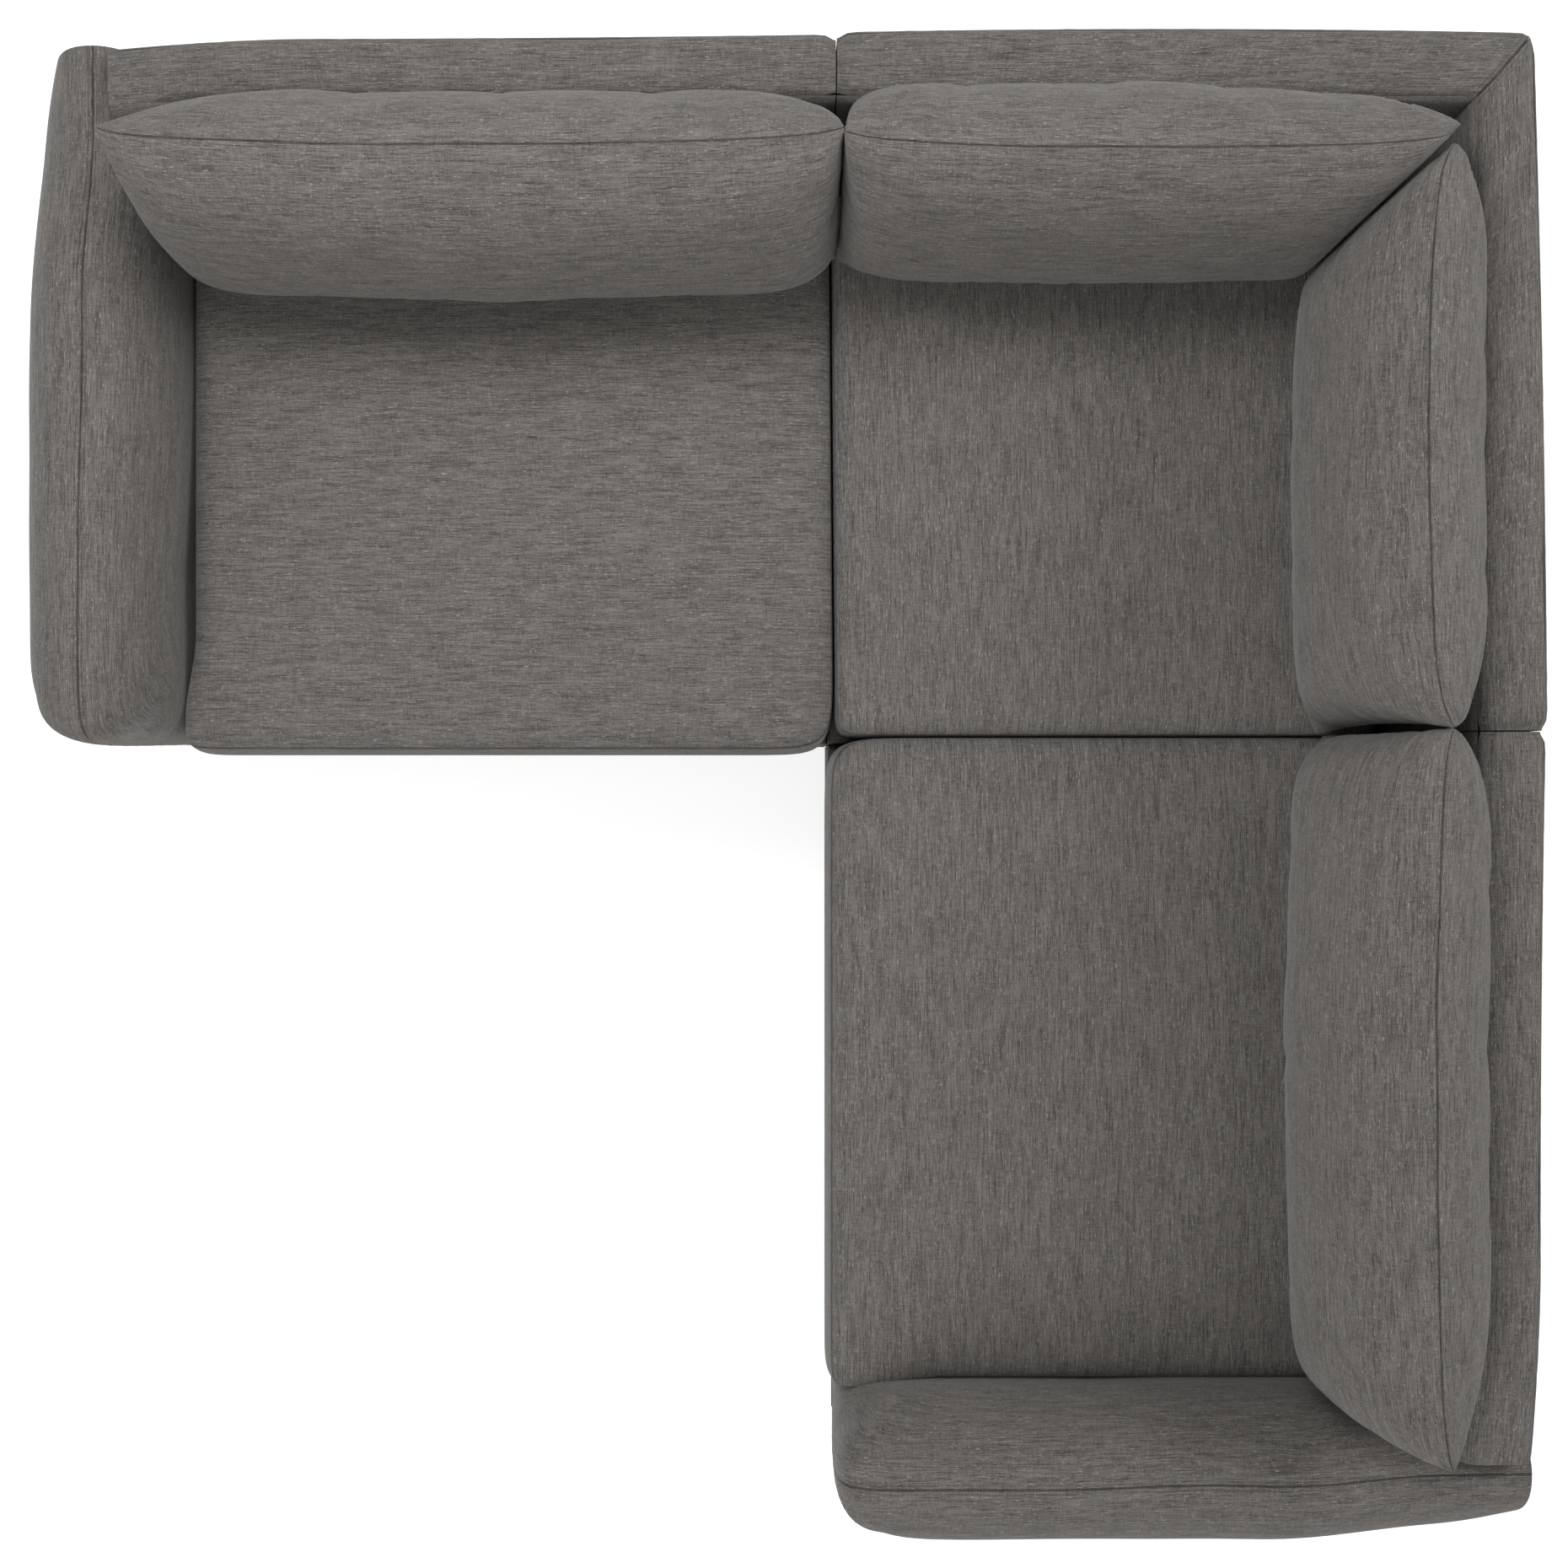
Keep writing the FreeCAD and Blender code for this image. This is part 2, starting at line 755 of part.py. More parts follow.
def cushion_plan(left, right):
    """The upright cushion seen from above: crowned faces that close in at each end."""
    z = cushion_bottom - board
    middle = cushion_axis()
    reach = cushion_thickness / 2.0 + cushion_bow_proud - cushion_bow
    tip = cushion_edge / 2.0
    a = left + cushion_shoulder
    b = right - cushion_shoulder
    slope = 2.0 * math.atan(2.0 * cushion_bow / (b - a))
    rear_a, rear_b = v(a, middle + reach, z), v(b, middle + reach, z)
    front_a, front_b = v(a, middle - reach, z), v(b, middle - reach, z)
    sides = [
        Part.makeLine(v(left, middle - tip, z), v(left, middle + tip, z)),
        tangent_arc(rear_a, v(left, middle + tip, z), slope),
        bowed_side(rear_a, rear_b, cushion_bow, v(0, 1, 0)),
        tangent_arc(rear_b, v(right, middle + tip, z), -slope),
        Part.makeLine(v(right, middle + tip, z), v(right, middle - tip, z)),
        tangent_arc(front_b, v(right, middle - tip, z), slope),
        bowed_side(front_b, front_a, cushion_bow, v(0, -1, 0)),
        tangent_arc(front_a, v(left, middle - tip, z), -slope),
    ]
    return Part.Wire(sides)


def cushion_outline(left, right, over_arm):
    """The cushion seen from the front: sides drawn in between the four corners."""
    y = joint_line
    foot_left = v(left + (cushion_foot_tuck if over_arm else 0.0), y, cushion_bottom)
    top_left = v(left - over_arm, y, cushion_top)
    foot_right = v(right, y, cushion_bottom)
    top_right = v(right, y, cushion_top)
    return Part.Wire([
        Part.makeLine(foot_right, foot_left),
        bowed_side(foot_left, top_left, cushion_side_draw, v(1, 0, 0)),
        Part.makeLine(top_left, top_right),
        bowed_side(top_right, foot_right, cushion_side_draw, v(-1, 0, 0)),
    ])


def back_cushion_form(left, right, over_arm):
    """A plump knife-edged cushion: what its side, top and front outlines have in common."""
    start = left - over_arm
    length = right - start
    side_view = Part.Face(cushion_profile(start - board)).extrude(
        v(length + 2.0 * board, 0, 0))
    top_view = Part.Face(cushion_plan(start, right)).extrude(v(0, 0, back_top))
    front_view = Part.Face(cushion_outline(left, right, over_arm)).extrude(v(0, half, 0))
    return leaned(side_view.common(top_view)).common(front_view).Solids[0]


def beside_diagonal(shift, rear_side):
    """All space to one side of the upright plane where X is Y plus the shift."""
    big = 2.0 * side_length
    far = v(-big, big, -board) if rear_side else v(big, -big, -board)
    return prism([v(-big + shift, -big, -board), v(big + shift, big, -board), far],
                 v(0, 0, big))


def cushion_fill(left, right, clear):
    """The fibre pad in a back cushion, which thins towards its top as the cushion does."""
    a = left + cushion_shoulder * 0.5 - clear
    b = right - cushion_shoulder * 0.5 + clear
    front = []
    rear = []
    for level in fill_levels:
        z = cushion_bottom + level * back_cushion_height
        if level == fill_levels[0]:
            z -= clear
        if level == fill_levels[-1]:
            z += clear
        deep = fill_share * cushion_fatness(level) * cushion_thickness / 2.0 + clear
        front.append(v(a, cushion_axis() - deep, z))
        rear.append(v(a, cushion_axis() + deep, z))
    return leaned(prism(front + list(reversed(rear)), v(b - a, 0, 0)))


def right_corner_cushion(left_cushion):
    """The right cushion of the corner, which stops at the left one's cut end."""
    keep = beside_diagonal(corner_contact_shift + side_clear, False)
    return mirrored(left_cushion).common(keep)


# The units


def joined(*groups):
    solids = []
    for group in groups:
        if isinstance(group, list):
            solids += group
        else:
            solids.append(group)
    return solids


def arm_unit():
    """Every piece of the left unit, by name."""
    x0 = arm_inner + fit_clear
    x1 = left_joint_face
    rail_x1 = x1 - joint_pad - fit_clear
    y0 = joint_line
    rail_y0 = y0 + front_pad + fit_clear
    rail_y1 = seat_back_face - fit_clear
    arm_room_now = arm_room(fit_clear)
    arm_x = (arm_room_now[0] + arm_room_now[1]) / 2.0
    rear_y = half - foot_in_from_rear
    feet = [
        (arm_x, y0 + foot_in_from_front),
        (arm_x, rear_y),
        (x1 - foot_in_from_joint, y0 + foot_in_from_front),
        (x1 - foot_in_from_joint, rear_y),
    ]
    sockets = connector_places()
    socket_screws = joined(*[socket_screw_places(y) for y in sockets])
    head_top = frame_bottom - socket_wall
    rails = base_rails(x0, rail_x1, rail_y0, rail_y1)
    rails = with_screw_holes(bored(rails, feet), socket_screws, head_top)
    cover = dust_cover(-half + arm_outer_pad, x1, y0, half - back_outer_pad, feet,
                       [socket_room(y) for y in sockets])
    frame_x0 = x0 + back_end_pad + fit_clear
    frame_x1 = x1 - back_end_pad - fit_clear
    seat_x0 = arm_inner + side_clear
    seat_x1 = x1 - side_clear / 2.0
    seat_y0 = y0 - seat_front_reach
    seat_y1 = seat_back_face - side_clear
    seat = seat_cushion_form(seat_x0, seat_x1, seat_y0, seat_y1, seat_x1,
                             seat_corner_round, seat_corner_round)
    seat = seat.cut(seat_core_box(seat_x0, seat_x1, seat_y0, seat_y1, core_clear))
    pillow = back_cushion_form(seat_x0, seat_x1, cushion_over_arm)
    return {
        "base_rails": rails,
        "corner_blocks": bored(corner_blocks(x0, rail_x1, rail_y0, rail_y1), feet),
        "back_frame": bored(back_frame(frame_x0, frame_x1), feet),
        "arm_frame": bored(arm_frame(), feet),
        "seat_webbing": seat_webbing(x0, rail_x1, rail_y0, rail_y1),
        "deck_pad": [deck_pad(x0, x1, y0 + fit_clear, seat_back_face - fit_clear)],
        "base_upholstery": [
            box(x0, x1 - joint_pad, y0, y0 + front_pad, frame_bottom, deck_bottom - fit_clear),
            box(x1 - joint_pad, x1, y0, rail_y1, frame_bottom, deck_bottom - fit_clear),
        ],
        "back_upholstery": [back_upholstery(x0, x1, True)],
        "arm_upholstery": [arm_upholstery()],
        "dust_cover": [cover],
        "feet": [foot(x, y) for x, y in feet],
        "foot_bolts": [foot_bolt(x, y) for x, y in feet],
        "socket_brackets": [socket_bracket(y) for y in sockets],
        "socket_screws": [screw_up(x, y, head_top) for x, y in socket_screws],
        "seat_cushion_cover": [seat],
        "seat_cushion_core": [seat_core_box(seat_x0, seat_x1, seat_y0, seat_y1, 0.0)],
        "back_cushion_cover": [pillow.cut(cushion_fill(seat_x0, seat_x1, core_clear))],
        "back_cushion_fill": [cushion_fill(seat_x0, seat_x1, 0.0)],
    }


def corner_unit():
    """Every piece of the corner unit, by name."""
    a = corner_joint_face
    rail_a = a + joint_pad + fit_clear
    rail_b = seat_back_face - fit_clear
    near = a + foot_in_from_joint
    rear = half - foot_in_from_rear
    feet = [(near, near), (near, rear), (rear, near), (rear, rear)]
    places = connector_places()
    left_screws = joined(*[tongue_screw_places(y) for y in places])
    right_screws = [(y, x) for x, y in left_screws]
    screws = left_screws + right_screws
    head_top = frame_bottom - plate_thickness
    rails = base_rails(rail_a, rail_b, rail_a, rail_b)
    rails = with_screw_holes(bored(rails, feet), screws, head_top)
    rooms = [tongue_room(y) for y in places]
    cover = dust_cover(a, half - back_outer_pad, a, half - back_outer_pad, feet,
                       rooms + [mirrored(room) for room in rooms])
    seat_a = a + side_clear / 2.0
    seat_b = seat_back_face - side_clear
    seat = seat_cushion_form(seat_a, seat_b, seat_a, seat_b, back_cushion_foot_front(),
                             inner_corner_round, inner_corner_round)
    seat = seat.cut(seat_core_box(seat_a, seat_b, seat_a, seat_b, core_clear))
    frame_start = a + back_end_pad + fit_clear
    frame_end = half - back_outer_pad - fit_clear
    left_frame = back_frame(frame_start, frame_end)
    right_end = seat_back_face + back_pad
    right_frame = [mirrored(s) for s in back_frame(frame_start, right_end)]
    left_back = corner_back(a)
    tip = seat_b - corner_tip_set
    pillow = back_cushion_form(seat_a, tip, 0.0)
    pillow = pillow.common(beside_diagonal(corner_contact_shift - side_clear, True))
    fill_end = back_cushion_foot_front() + cushion_shoulder * 0.5
    fill = cushion_fill(seat_a, fill_end, 0.0)
    left_cushion = pillow.cut(cushion_fill(seat_a, fill_end, core_clear))
    return {
        "base_rails": rails,
        "corner_blocks": bored(corner_blocks(rail_a, rail_b, rail_a, rail_b), feet),
        "left_back_frame": bored(left_frame, feet),
        "right_back_frame": bored(right_frame, feet),
        "seat_webbing": seat_webbing(rail_a, rail_b, rail_a, rail_b),
        "deck_pad": [deck_pad(a, rail_b, a, rail_b)],
        "base_upholstery": [
            box(a, a + joint_pad, a, rail_b, frame_bottom, deck_bottom - fit_clear),
            box(a + joint_pad, rail_b, a, a + joint_pad, frame_bottom,
                deck_bottom - fit_clear),
        ],
        "left_back_upholstery": [left_back],
        "right_back_upholstery": [mirrored(left_back)],
        "dust_cover": [cover],
        "feet": [foot(x, y) for x, y in feet],
        "foot_bolts": [foot_bolt(x, y) for x, y in feet],
        "left_tongue_plates": [tongue_plate(y) for y in places],
        "left_tongue_screws": [screw_up(x, y, head_top) for x, y in left_screws],
        "right_tongue_plates": [mirrored(tongue_plate(y)) for y in places],
        "right_tongue_screws": [screw_up(x, y, head_top) for x, y in right_screws],
        "seat_cushion_cover": [seat],
        "seat_cushion_core": [seat_core_box(seat_a, seat_b, seat_a, seat_b, 0.0)],
        "left_back_cushion_cover": [left_cushion],
        "left_back_cushion_fill": [fill],
        "right_back_cushion_cover": [right_corner_cushion(left_cushion)],
        "right_back_cushion_fill": [mirrored(fill)],
    }


def corner_back(start):
    """Half of the corner unit's back, mitred on the diagonal, with a rounded outer corner."""
    form = back_upholstery(start, half + board, False)
    keep = beside_diagonal(-fit_clear / 2.0, True)
    block = prism([v(-half, -half, -board), v(half, -half, -board), v(half, half, -board),
                   v(-half, half, -board)], v(0, 0, side_length))
    edge = [e for e in block.Edges
            if abs(e.CenterOfMass.x - half) < 1e-6 and abs(e.CenterOfMass.y - half) < 1e-6]
    block = block.makeFillet(outer_corner_round, edge)
    return form.common(keep).common(block)


def write(nodes, prefix):
    for name, solids in nodes.items():
        shape = solids[0] if len(solids) == 1 else Part.makeCompound(solids)
        shape.exportStep("parts/" + prefix + name + ".step")


def report(nodes, prefix):
    for name, solids in nodes.items():
        for solid in solids:
            b = solid.BoundBox
            good = solid.isValid() and len(solid.Solids) == 1
            if not good:
                print("check", prefix + name, solid.isValid(), len(solid.Solids),
                      round(b.XMin), round(b.YMin), round(b.ZMin))


os.makedirs("parts", exist_ok=True)
left = arm_unit()
right = {name: [mirrored(solid) for solid in solids] for name, solids in left.items()}
corner = corner_unit()
for nodes, prefix in ((left, "left_"), (right, "right_"), (corner, "corner_")):
    write(nodes, prefix)
    report(nodes, prefix)
print("nodes", len(left) + len(right) + len(corner))
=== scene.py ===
"""Looks of a three-unit sectional sofa: covers, padding, cloth, timber, feet and connectors."""

import logging
import math
from collections.abc import Callable
from dataclasses import dataclass, field, replace
from enum import Enum

import bmesh
import bpy
import numpy as np
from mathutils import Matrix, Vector


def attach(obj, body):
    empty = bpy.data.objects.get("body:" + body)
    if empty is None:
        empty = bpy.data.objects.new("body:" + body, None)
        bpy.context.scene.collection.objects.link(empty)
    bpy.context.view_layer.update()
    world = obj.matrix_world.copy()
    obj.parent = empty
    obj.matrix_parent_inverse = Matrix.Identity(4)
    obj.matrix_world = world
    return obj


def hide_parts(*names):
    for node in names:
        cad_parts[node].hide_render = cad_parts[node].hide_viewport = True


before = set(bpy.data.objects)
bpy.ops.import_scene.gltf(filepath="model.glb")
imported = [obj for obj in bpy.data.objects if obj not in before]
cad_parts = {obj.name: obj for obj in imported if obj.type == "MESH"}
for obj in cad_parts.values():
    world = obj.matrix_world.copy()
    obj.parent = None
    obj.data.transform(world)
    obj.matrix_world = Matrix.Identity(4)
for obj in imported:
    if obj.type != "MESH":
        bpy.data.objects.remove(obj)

Array = np.ndarray
Pair = tuple[float, float]
Triple = tuple[float, float, float]
Piece = bpy.types.Object
Node = bpy.types.Node
Tree = bpy.types.NodeTree
Socket = bpy.types.NodeSocket

QUARTER_TURN = math.pi / 2.0
FULL_TURN = 2.0 * math.pi

# Distances in metres from a panel's border at which its first grid lines lie
FINE_STEPS = (0.0015, 0.004, 0.008, 0.014)

# How wide a seam's valley and the start of its gathers are, in metres
SEAM_VALLEY = 0.0045
GATHER_START = 0.007

# How softly a cushion is pressed flat on its contact plane, in metres
PRESS_ROUND = 0.005

# Radius of the backs' outer upright corner in metres
CORNER_ROUND = 0.024

log = logging.getLogger("sofa")


class Hand(Enum):
    """How a sub-assembly stands: as drawn, or mirrored in the upright plane where X is Y."""

    LEFT = "left"
    RIGHT = "right"


# Mesh helpers


@dataclass
class Patch:
    """A grid of surface points with its cloth coordinates and its distance from a seam.

    Args:
        points: Grid of positions in metres, rows by columns by 3.
        cloth: Grid of cloth coordinates in metres, the first along the yarn streaks.
        seam: Grid of distances to the nearest seam in metres.
    """

    points: Array
    cloth: Array
    seam: Array

    def normals(self) -> Array:
        """Unit normals: the cross product of the slopes along rows and along columns."""
        normal = np.cross(np.gradient(self.points, axis=0), np.gradient(self.points, axis=1))
        length = np.linalg.norm(normal, axis=2, keepdims=True)
        return normal / np.maximum(length, 1e-9)

    def pushed(self, amount: Array, outward: Array) -> "Patch":
        """Moves each point along its normal, which is first turned to the given side.

        Args:
            amount: Grid of distances in metres.
            outward: Rough outward direction, one vector or a grid of them.

        Returns:
            The patch with its points moved.
        """
        normal = self.normals()
        side = np.sign(np.sum(normal * outward, axis=2, keepdims=True))
        moved = self.points + normal * np.where(side == 0.0, 1.0, side) * amount[..., None]
        return Patch(moved, self.cloth, self.seam)


def linked(name: str, data: bpy.types.ID) -> Piece:
    """A new object for a mesh, a lamp or a camera, linked to the scene."""
    made = bpy.data.objects.new(name, data)
    bpy.context.scene.collection.objects.link(made)
    return made


def in_hand(points: Array, hand: Hand) -> Array:
    """Rows of points as drawn, or with X and Y exchanged for the right hand."""
    return points[:, [1, 0, 2]] if hand is Hand.RIGHT else points


def cover(name: str, patches: list[Patch], hand: Hand, merge: float = 2e-5) -> Piece:
    """Joins patches into one closed mesh with a cloth map and a seam attribute.

    Args:
        name: Name of the piece.
        patches: Patches that share their border points.
        hand: RIGHT exchanges X and Y of every point.
        merge: Distance within which border points become one.

    Returns:
        The new object, linked to the scene and standing at the origin.
    """
    points, cloth, seam, faces = [], [], [], []
    start = 0
    for patch in patches:
        rows, columns = patch.points.shape[:2]
        index = np.arange(rows * columns).reshape(rows, columns) + start
        quads = np.stack([index[:-1, :-1], index[1:, :-1], index[1:, 1:], index[:-1, 1:]], axis=-1)
        faces.append(quads.reshape(-1, 4))
        points.append(patch.points.reshape(-1, 3))
        cloth.append(patch.cloth.reshape(-1, 2))
        seam.append(patch.seam.reshape(-1))
        start += rows * columns
    co = in_hand(np.concatenate(points), hand)
    quads = np.concatenate(faces)
    mesh = bpy.data.meshes.new(name)
    mesh.vertices.add(len(co))
    mesh.vertices.foreach_set("co", co.ravel())
    mesh.loops.add(quads.size)
    mesh.loops.foreach_set("vertex_index", quads.ravel())
    mesh.polygons.add(len(quads))
    mesh.polygons.foreach_set("loop_start", np.arange(0, quads.size, 4))
    mesh.update(calc_edges=True)
    layer = mesh.uv_layers.new(name="cloth")
    layer.data.foreach_set("uv", np.concatenate(cloth)[quads.ravel()].ravel())
    attribute = mesh.attributes.new("seam", "FLOAT", "POINT")
    attribute.data.foreach_set("value", np.concatenate(seam))
    work = bmesh.new()
    work.from_mesh(mesh)
    bmesh.ops.remove_doubles(work, verts=work.verts, dist=merge)
    bmesh.ops.dissolve_degenerate(work, edges=work.edges, dist=merge * 0.5)
    bmesh.ops.recalc_face_normals(work, faces=work.faces)
    work.to_mesh(mesh)
    work.free()
    mesh.polygons.foreach_set("use_smooth", np.ones(len(mesh.polygons), bool))
    return linked(name, mesh)


def spaced(total: float, step: float, fine: tuple[float, ...] = FINE_STEPS) -> Array:
    """Distances from 0 to the total: close together near both ends, then even steps."""
    near = [0.0, *fine]
    count = max(2, int(round((total - 2.0 * near[-1]) / step)))
    middle = np.linspace(near[-1], total - near[-1], count + 1)[1:-1]
    return np.array([*near, *middle, *[total - d for d in reversed(near)]])


def steps_of(curve: Array) -> Array:
    """Lengths of the steps of a polyline."""
    return np.linalg.norm(np.diff(curve, axis=0), axis=1)


def run_of(curve: Array) -> Array:
    """Distance along a polyline at each of its points."""
    return np.concatenate([[0.0], np.cumsum(steps_of(curve))])


def length_of(curve: Array) -> float:
    """Length of a polyline."""
    return float(np.sum(steps_of(curve)))


def along(curve: Array, distances: Array) -> Array:
    """Points of a polyline at given distances, scaled so that the last distance is its end."""
    run = run_of(curve)
    want = distances * (run[-1] / distances[-1])
    return np.stack([np.interp(want, run, curve[:, k]) for k in range(curve.shape[1])], axis=1)


def paired(across: Array, down: Array) -> Array:
    """Grid of pairs: the first changes from column to column, the second from row to row."""
    return np.stack(np.broadcast_arrays(across[None, :], down[:, None]), axis=2)


def smooth(x: Array, low: float, high: float) -> Array:
    """0 below low, 1 above high and an even S-curve between them."""
    t = np.clip((np.asarray(x, float) - low) / (high - low), 0.0, 1.0)
    return t * t * (3.0 - 2.0 * t)


def waves(at: Array, seed: int, lengths: tuple[float, ...]) -> Array:
    """Sum of sines of the given wavelengths with seeded phases and strengths, about -1 to 1."""
    draw = np.random.default_rng(seed)
    total = np.zeros_like(np.asarray(at, float))
    for length in lengths:
        phase = draw.uniform(0.0, FULL_TURN)
        total += draw.uniform(0.6, 1.0) * np.sin(FULL_TURN * at / length + phase)
    return total / len(lengths)


def bell(distance: Array, width: float) -> Array:
    """1 at distance 0, falling off evenly on both sides over about the width."""
    return np.exp(-((distance / width) ** 2))


def bell_rise(distance: Array, width: float) -> Array:
    """0 at distance 0, rising to 1 over about the width."""
    return 1.0 - bell(distance, width)


def seam_rise(distance: Array, lift: float, reach: float = 0.03) -> Array:
    """Cloth stands up beside its seam: nothing on the seam, the lift beside it, then fading."""
    return lift * bell_rise(distance, SEAM_VALLEY) * np.exp(-distance / reach)


def puckers(s: Array, distance: Array, seed: int, height: float, reach: float = 0.03) -> Array:
    """Small gathers that start at a seam and fade away from it."""
    ripple = waves(s, seed, (0.021, 0.034, 0.055)) * (0.6 + 0.4 * waves(s, seed + 1, (0.19, 0.31)))
    return height * ripple * bell_rise(distance, GATHER_START) * np.exp(-distance / reach)


@dataclass
class SoftPiece:
    """A soft piece, drawn as it stands on the left side of the sofa.

    Args:
        name: Name of the piece.
        body: Body that it rides on.
        hand: Its side of the sofa.
        seed: Seed of its small irregularities.
    """

    name: str
    body: str
    hand: Hand
    seed: int

    def patches(self) -> list[Patch]:
        """The surfaces that close the piece, sharing their border points."""
        raise NotImplementedError

    def build(self) -> Piece:
        """Makes the piece as one closed mesh."""
        return cover(self.name, self.patches(), self.hand)


# Cloth simulation


@dataclass
class Puffing:
    """Cloth runs that let covers swell and wrinkle between their held seams.

    The cover is the cloth's own rest shape made larger by the growth, so that it
    has to buckle near its seams, and the pressure keeps the panels plump.

    Args:
        frames: Frames that the cloth is run for.
        cap: Largest movement of a point in metres.
        held: Distance from a seam within which the cloth is held, in metres.
        pieces: Covers with the cloth on them, each with its limit.
    """

    frames: int = 20
    cap: float = 0.010
    held: float = 0.004
    pieces: list[tuple[Piece, Callable[[Array], Array]]] = field(default_factory=list)

    def add(self, piece: Piece, limit: Callable[[Array], Array], foot: float,
            pressure: float, growth: float) -> None:
        """Puts the cloth on a cover, with the points beside its seams and its foot held.

        Args:
            piece: The cover.
            limit: Takes the moved points and puts back those that went too far.
            foot: Height of the held foot in metres.
            pressure: Pressure inside the cover.
            growth: Share by which the cloth is larger than the cover.
        """
        mesh = piece.data
        seam = np.zeros(len(mesh.vertices))
        mesh.attributes["seam"].data.foreach_get("value", seam)
        height = self.points(mesh)[:, 2]
        low = height < height.min() + foot
        group = piece.vertex_groups.new(name="held")
        group.add(np.flatnonzero((seam < self.held) | low).tolist(), 1.0, "REPLACE")
        cloth = piece.modifiers.new("puff", "CLOTH")
        settings = cloth.settings
        settings.quality = 6
        settings.mass = 0.15
        settings.tension_stiffness = settings.compression_stiffness = 25.0
        settings.shear_stiffness = 10.0
        settings.bending_stiffness = 0.6
        settings.vertex_group_mass = "held"
        settings.shrink_min = -growth
        settings.use_pressure = True
        settings.uniform_pressure_force = pressure
        settings.effector_weights.gravity = 0.0
        cloth.collision_settings.use_collision = False
        cloth.point_cache.frame_start = 1
        cloth.point_cache.frame_end = self.frames
        self.pieces.append((piece, limit))

    def points(self, mesh: bpy.types.Mesh) -> Array:
        """Positions of a mesh's points, one row each."""
        co = np.zeros(len(mesh.vertices) * 3)
        mesh.vertices.foreach_get("co", co)
        return co.reshape(-1, 3)

    def run(self) -> None:
        """Runs all covers together, caps how far each point has moved and applies it.

        A movement d becomes c tanh(d / c) with the cap c.
        """
        if not self.pieces:
            return
        scene = bpy.context.scene
        for step in range(1, self.frames + 1):
            scene.frame_set(step)
        graph = bpy.context.evaluated_depsgraph_get()
        for piece, limit in self.pieces:
            start = self.points(piece.data)
            moved = self.points(piece.evaluated_get(graph).data) - start
            length = np.linalg.norm(moved, axis=1, keepdims=True)
            capped = self.cap * np.tanh(length / self.cap)
            kept = start + moved * (capped / np.maximum(length, 1e-9))
            piece.modifiers.clear()
            piece.vertex_groups.clear()
            piece.data.vertices.foreach_set("co", limit(kept).ravel())
            piece.data.update()
            log.info("cloth %s: moved %.1f mm at most", piece.name, 1000.0 * float(length.max()))
        scene.frame_set(1)


# Materials


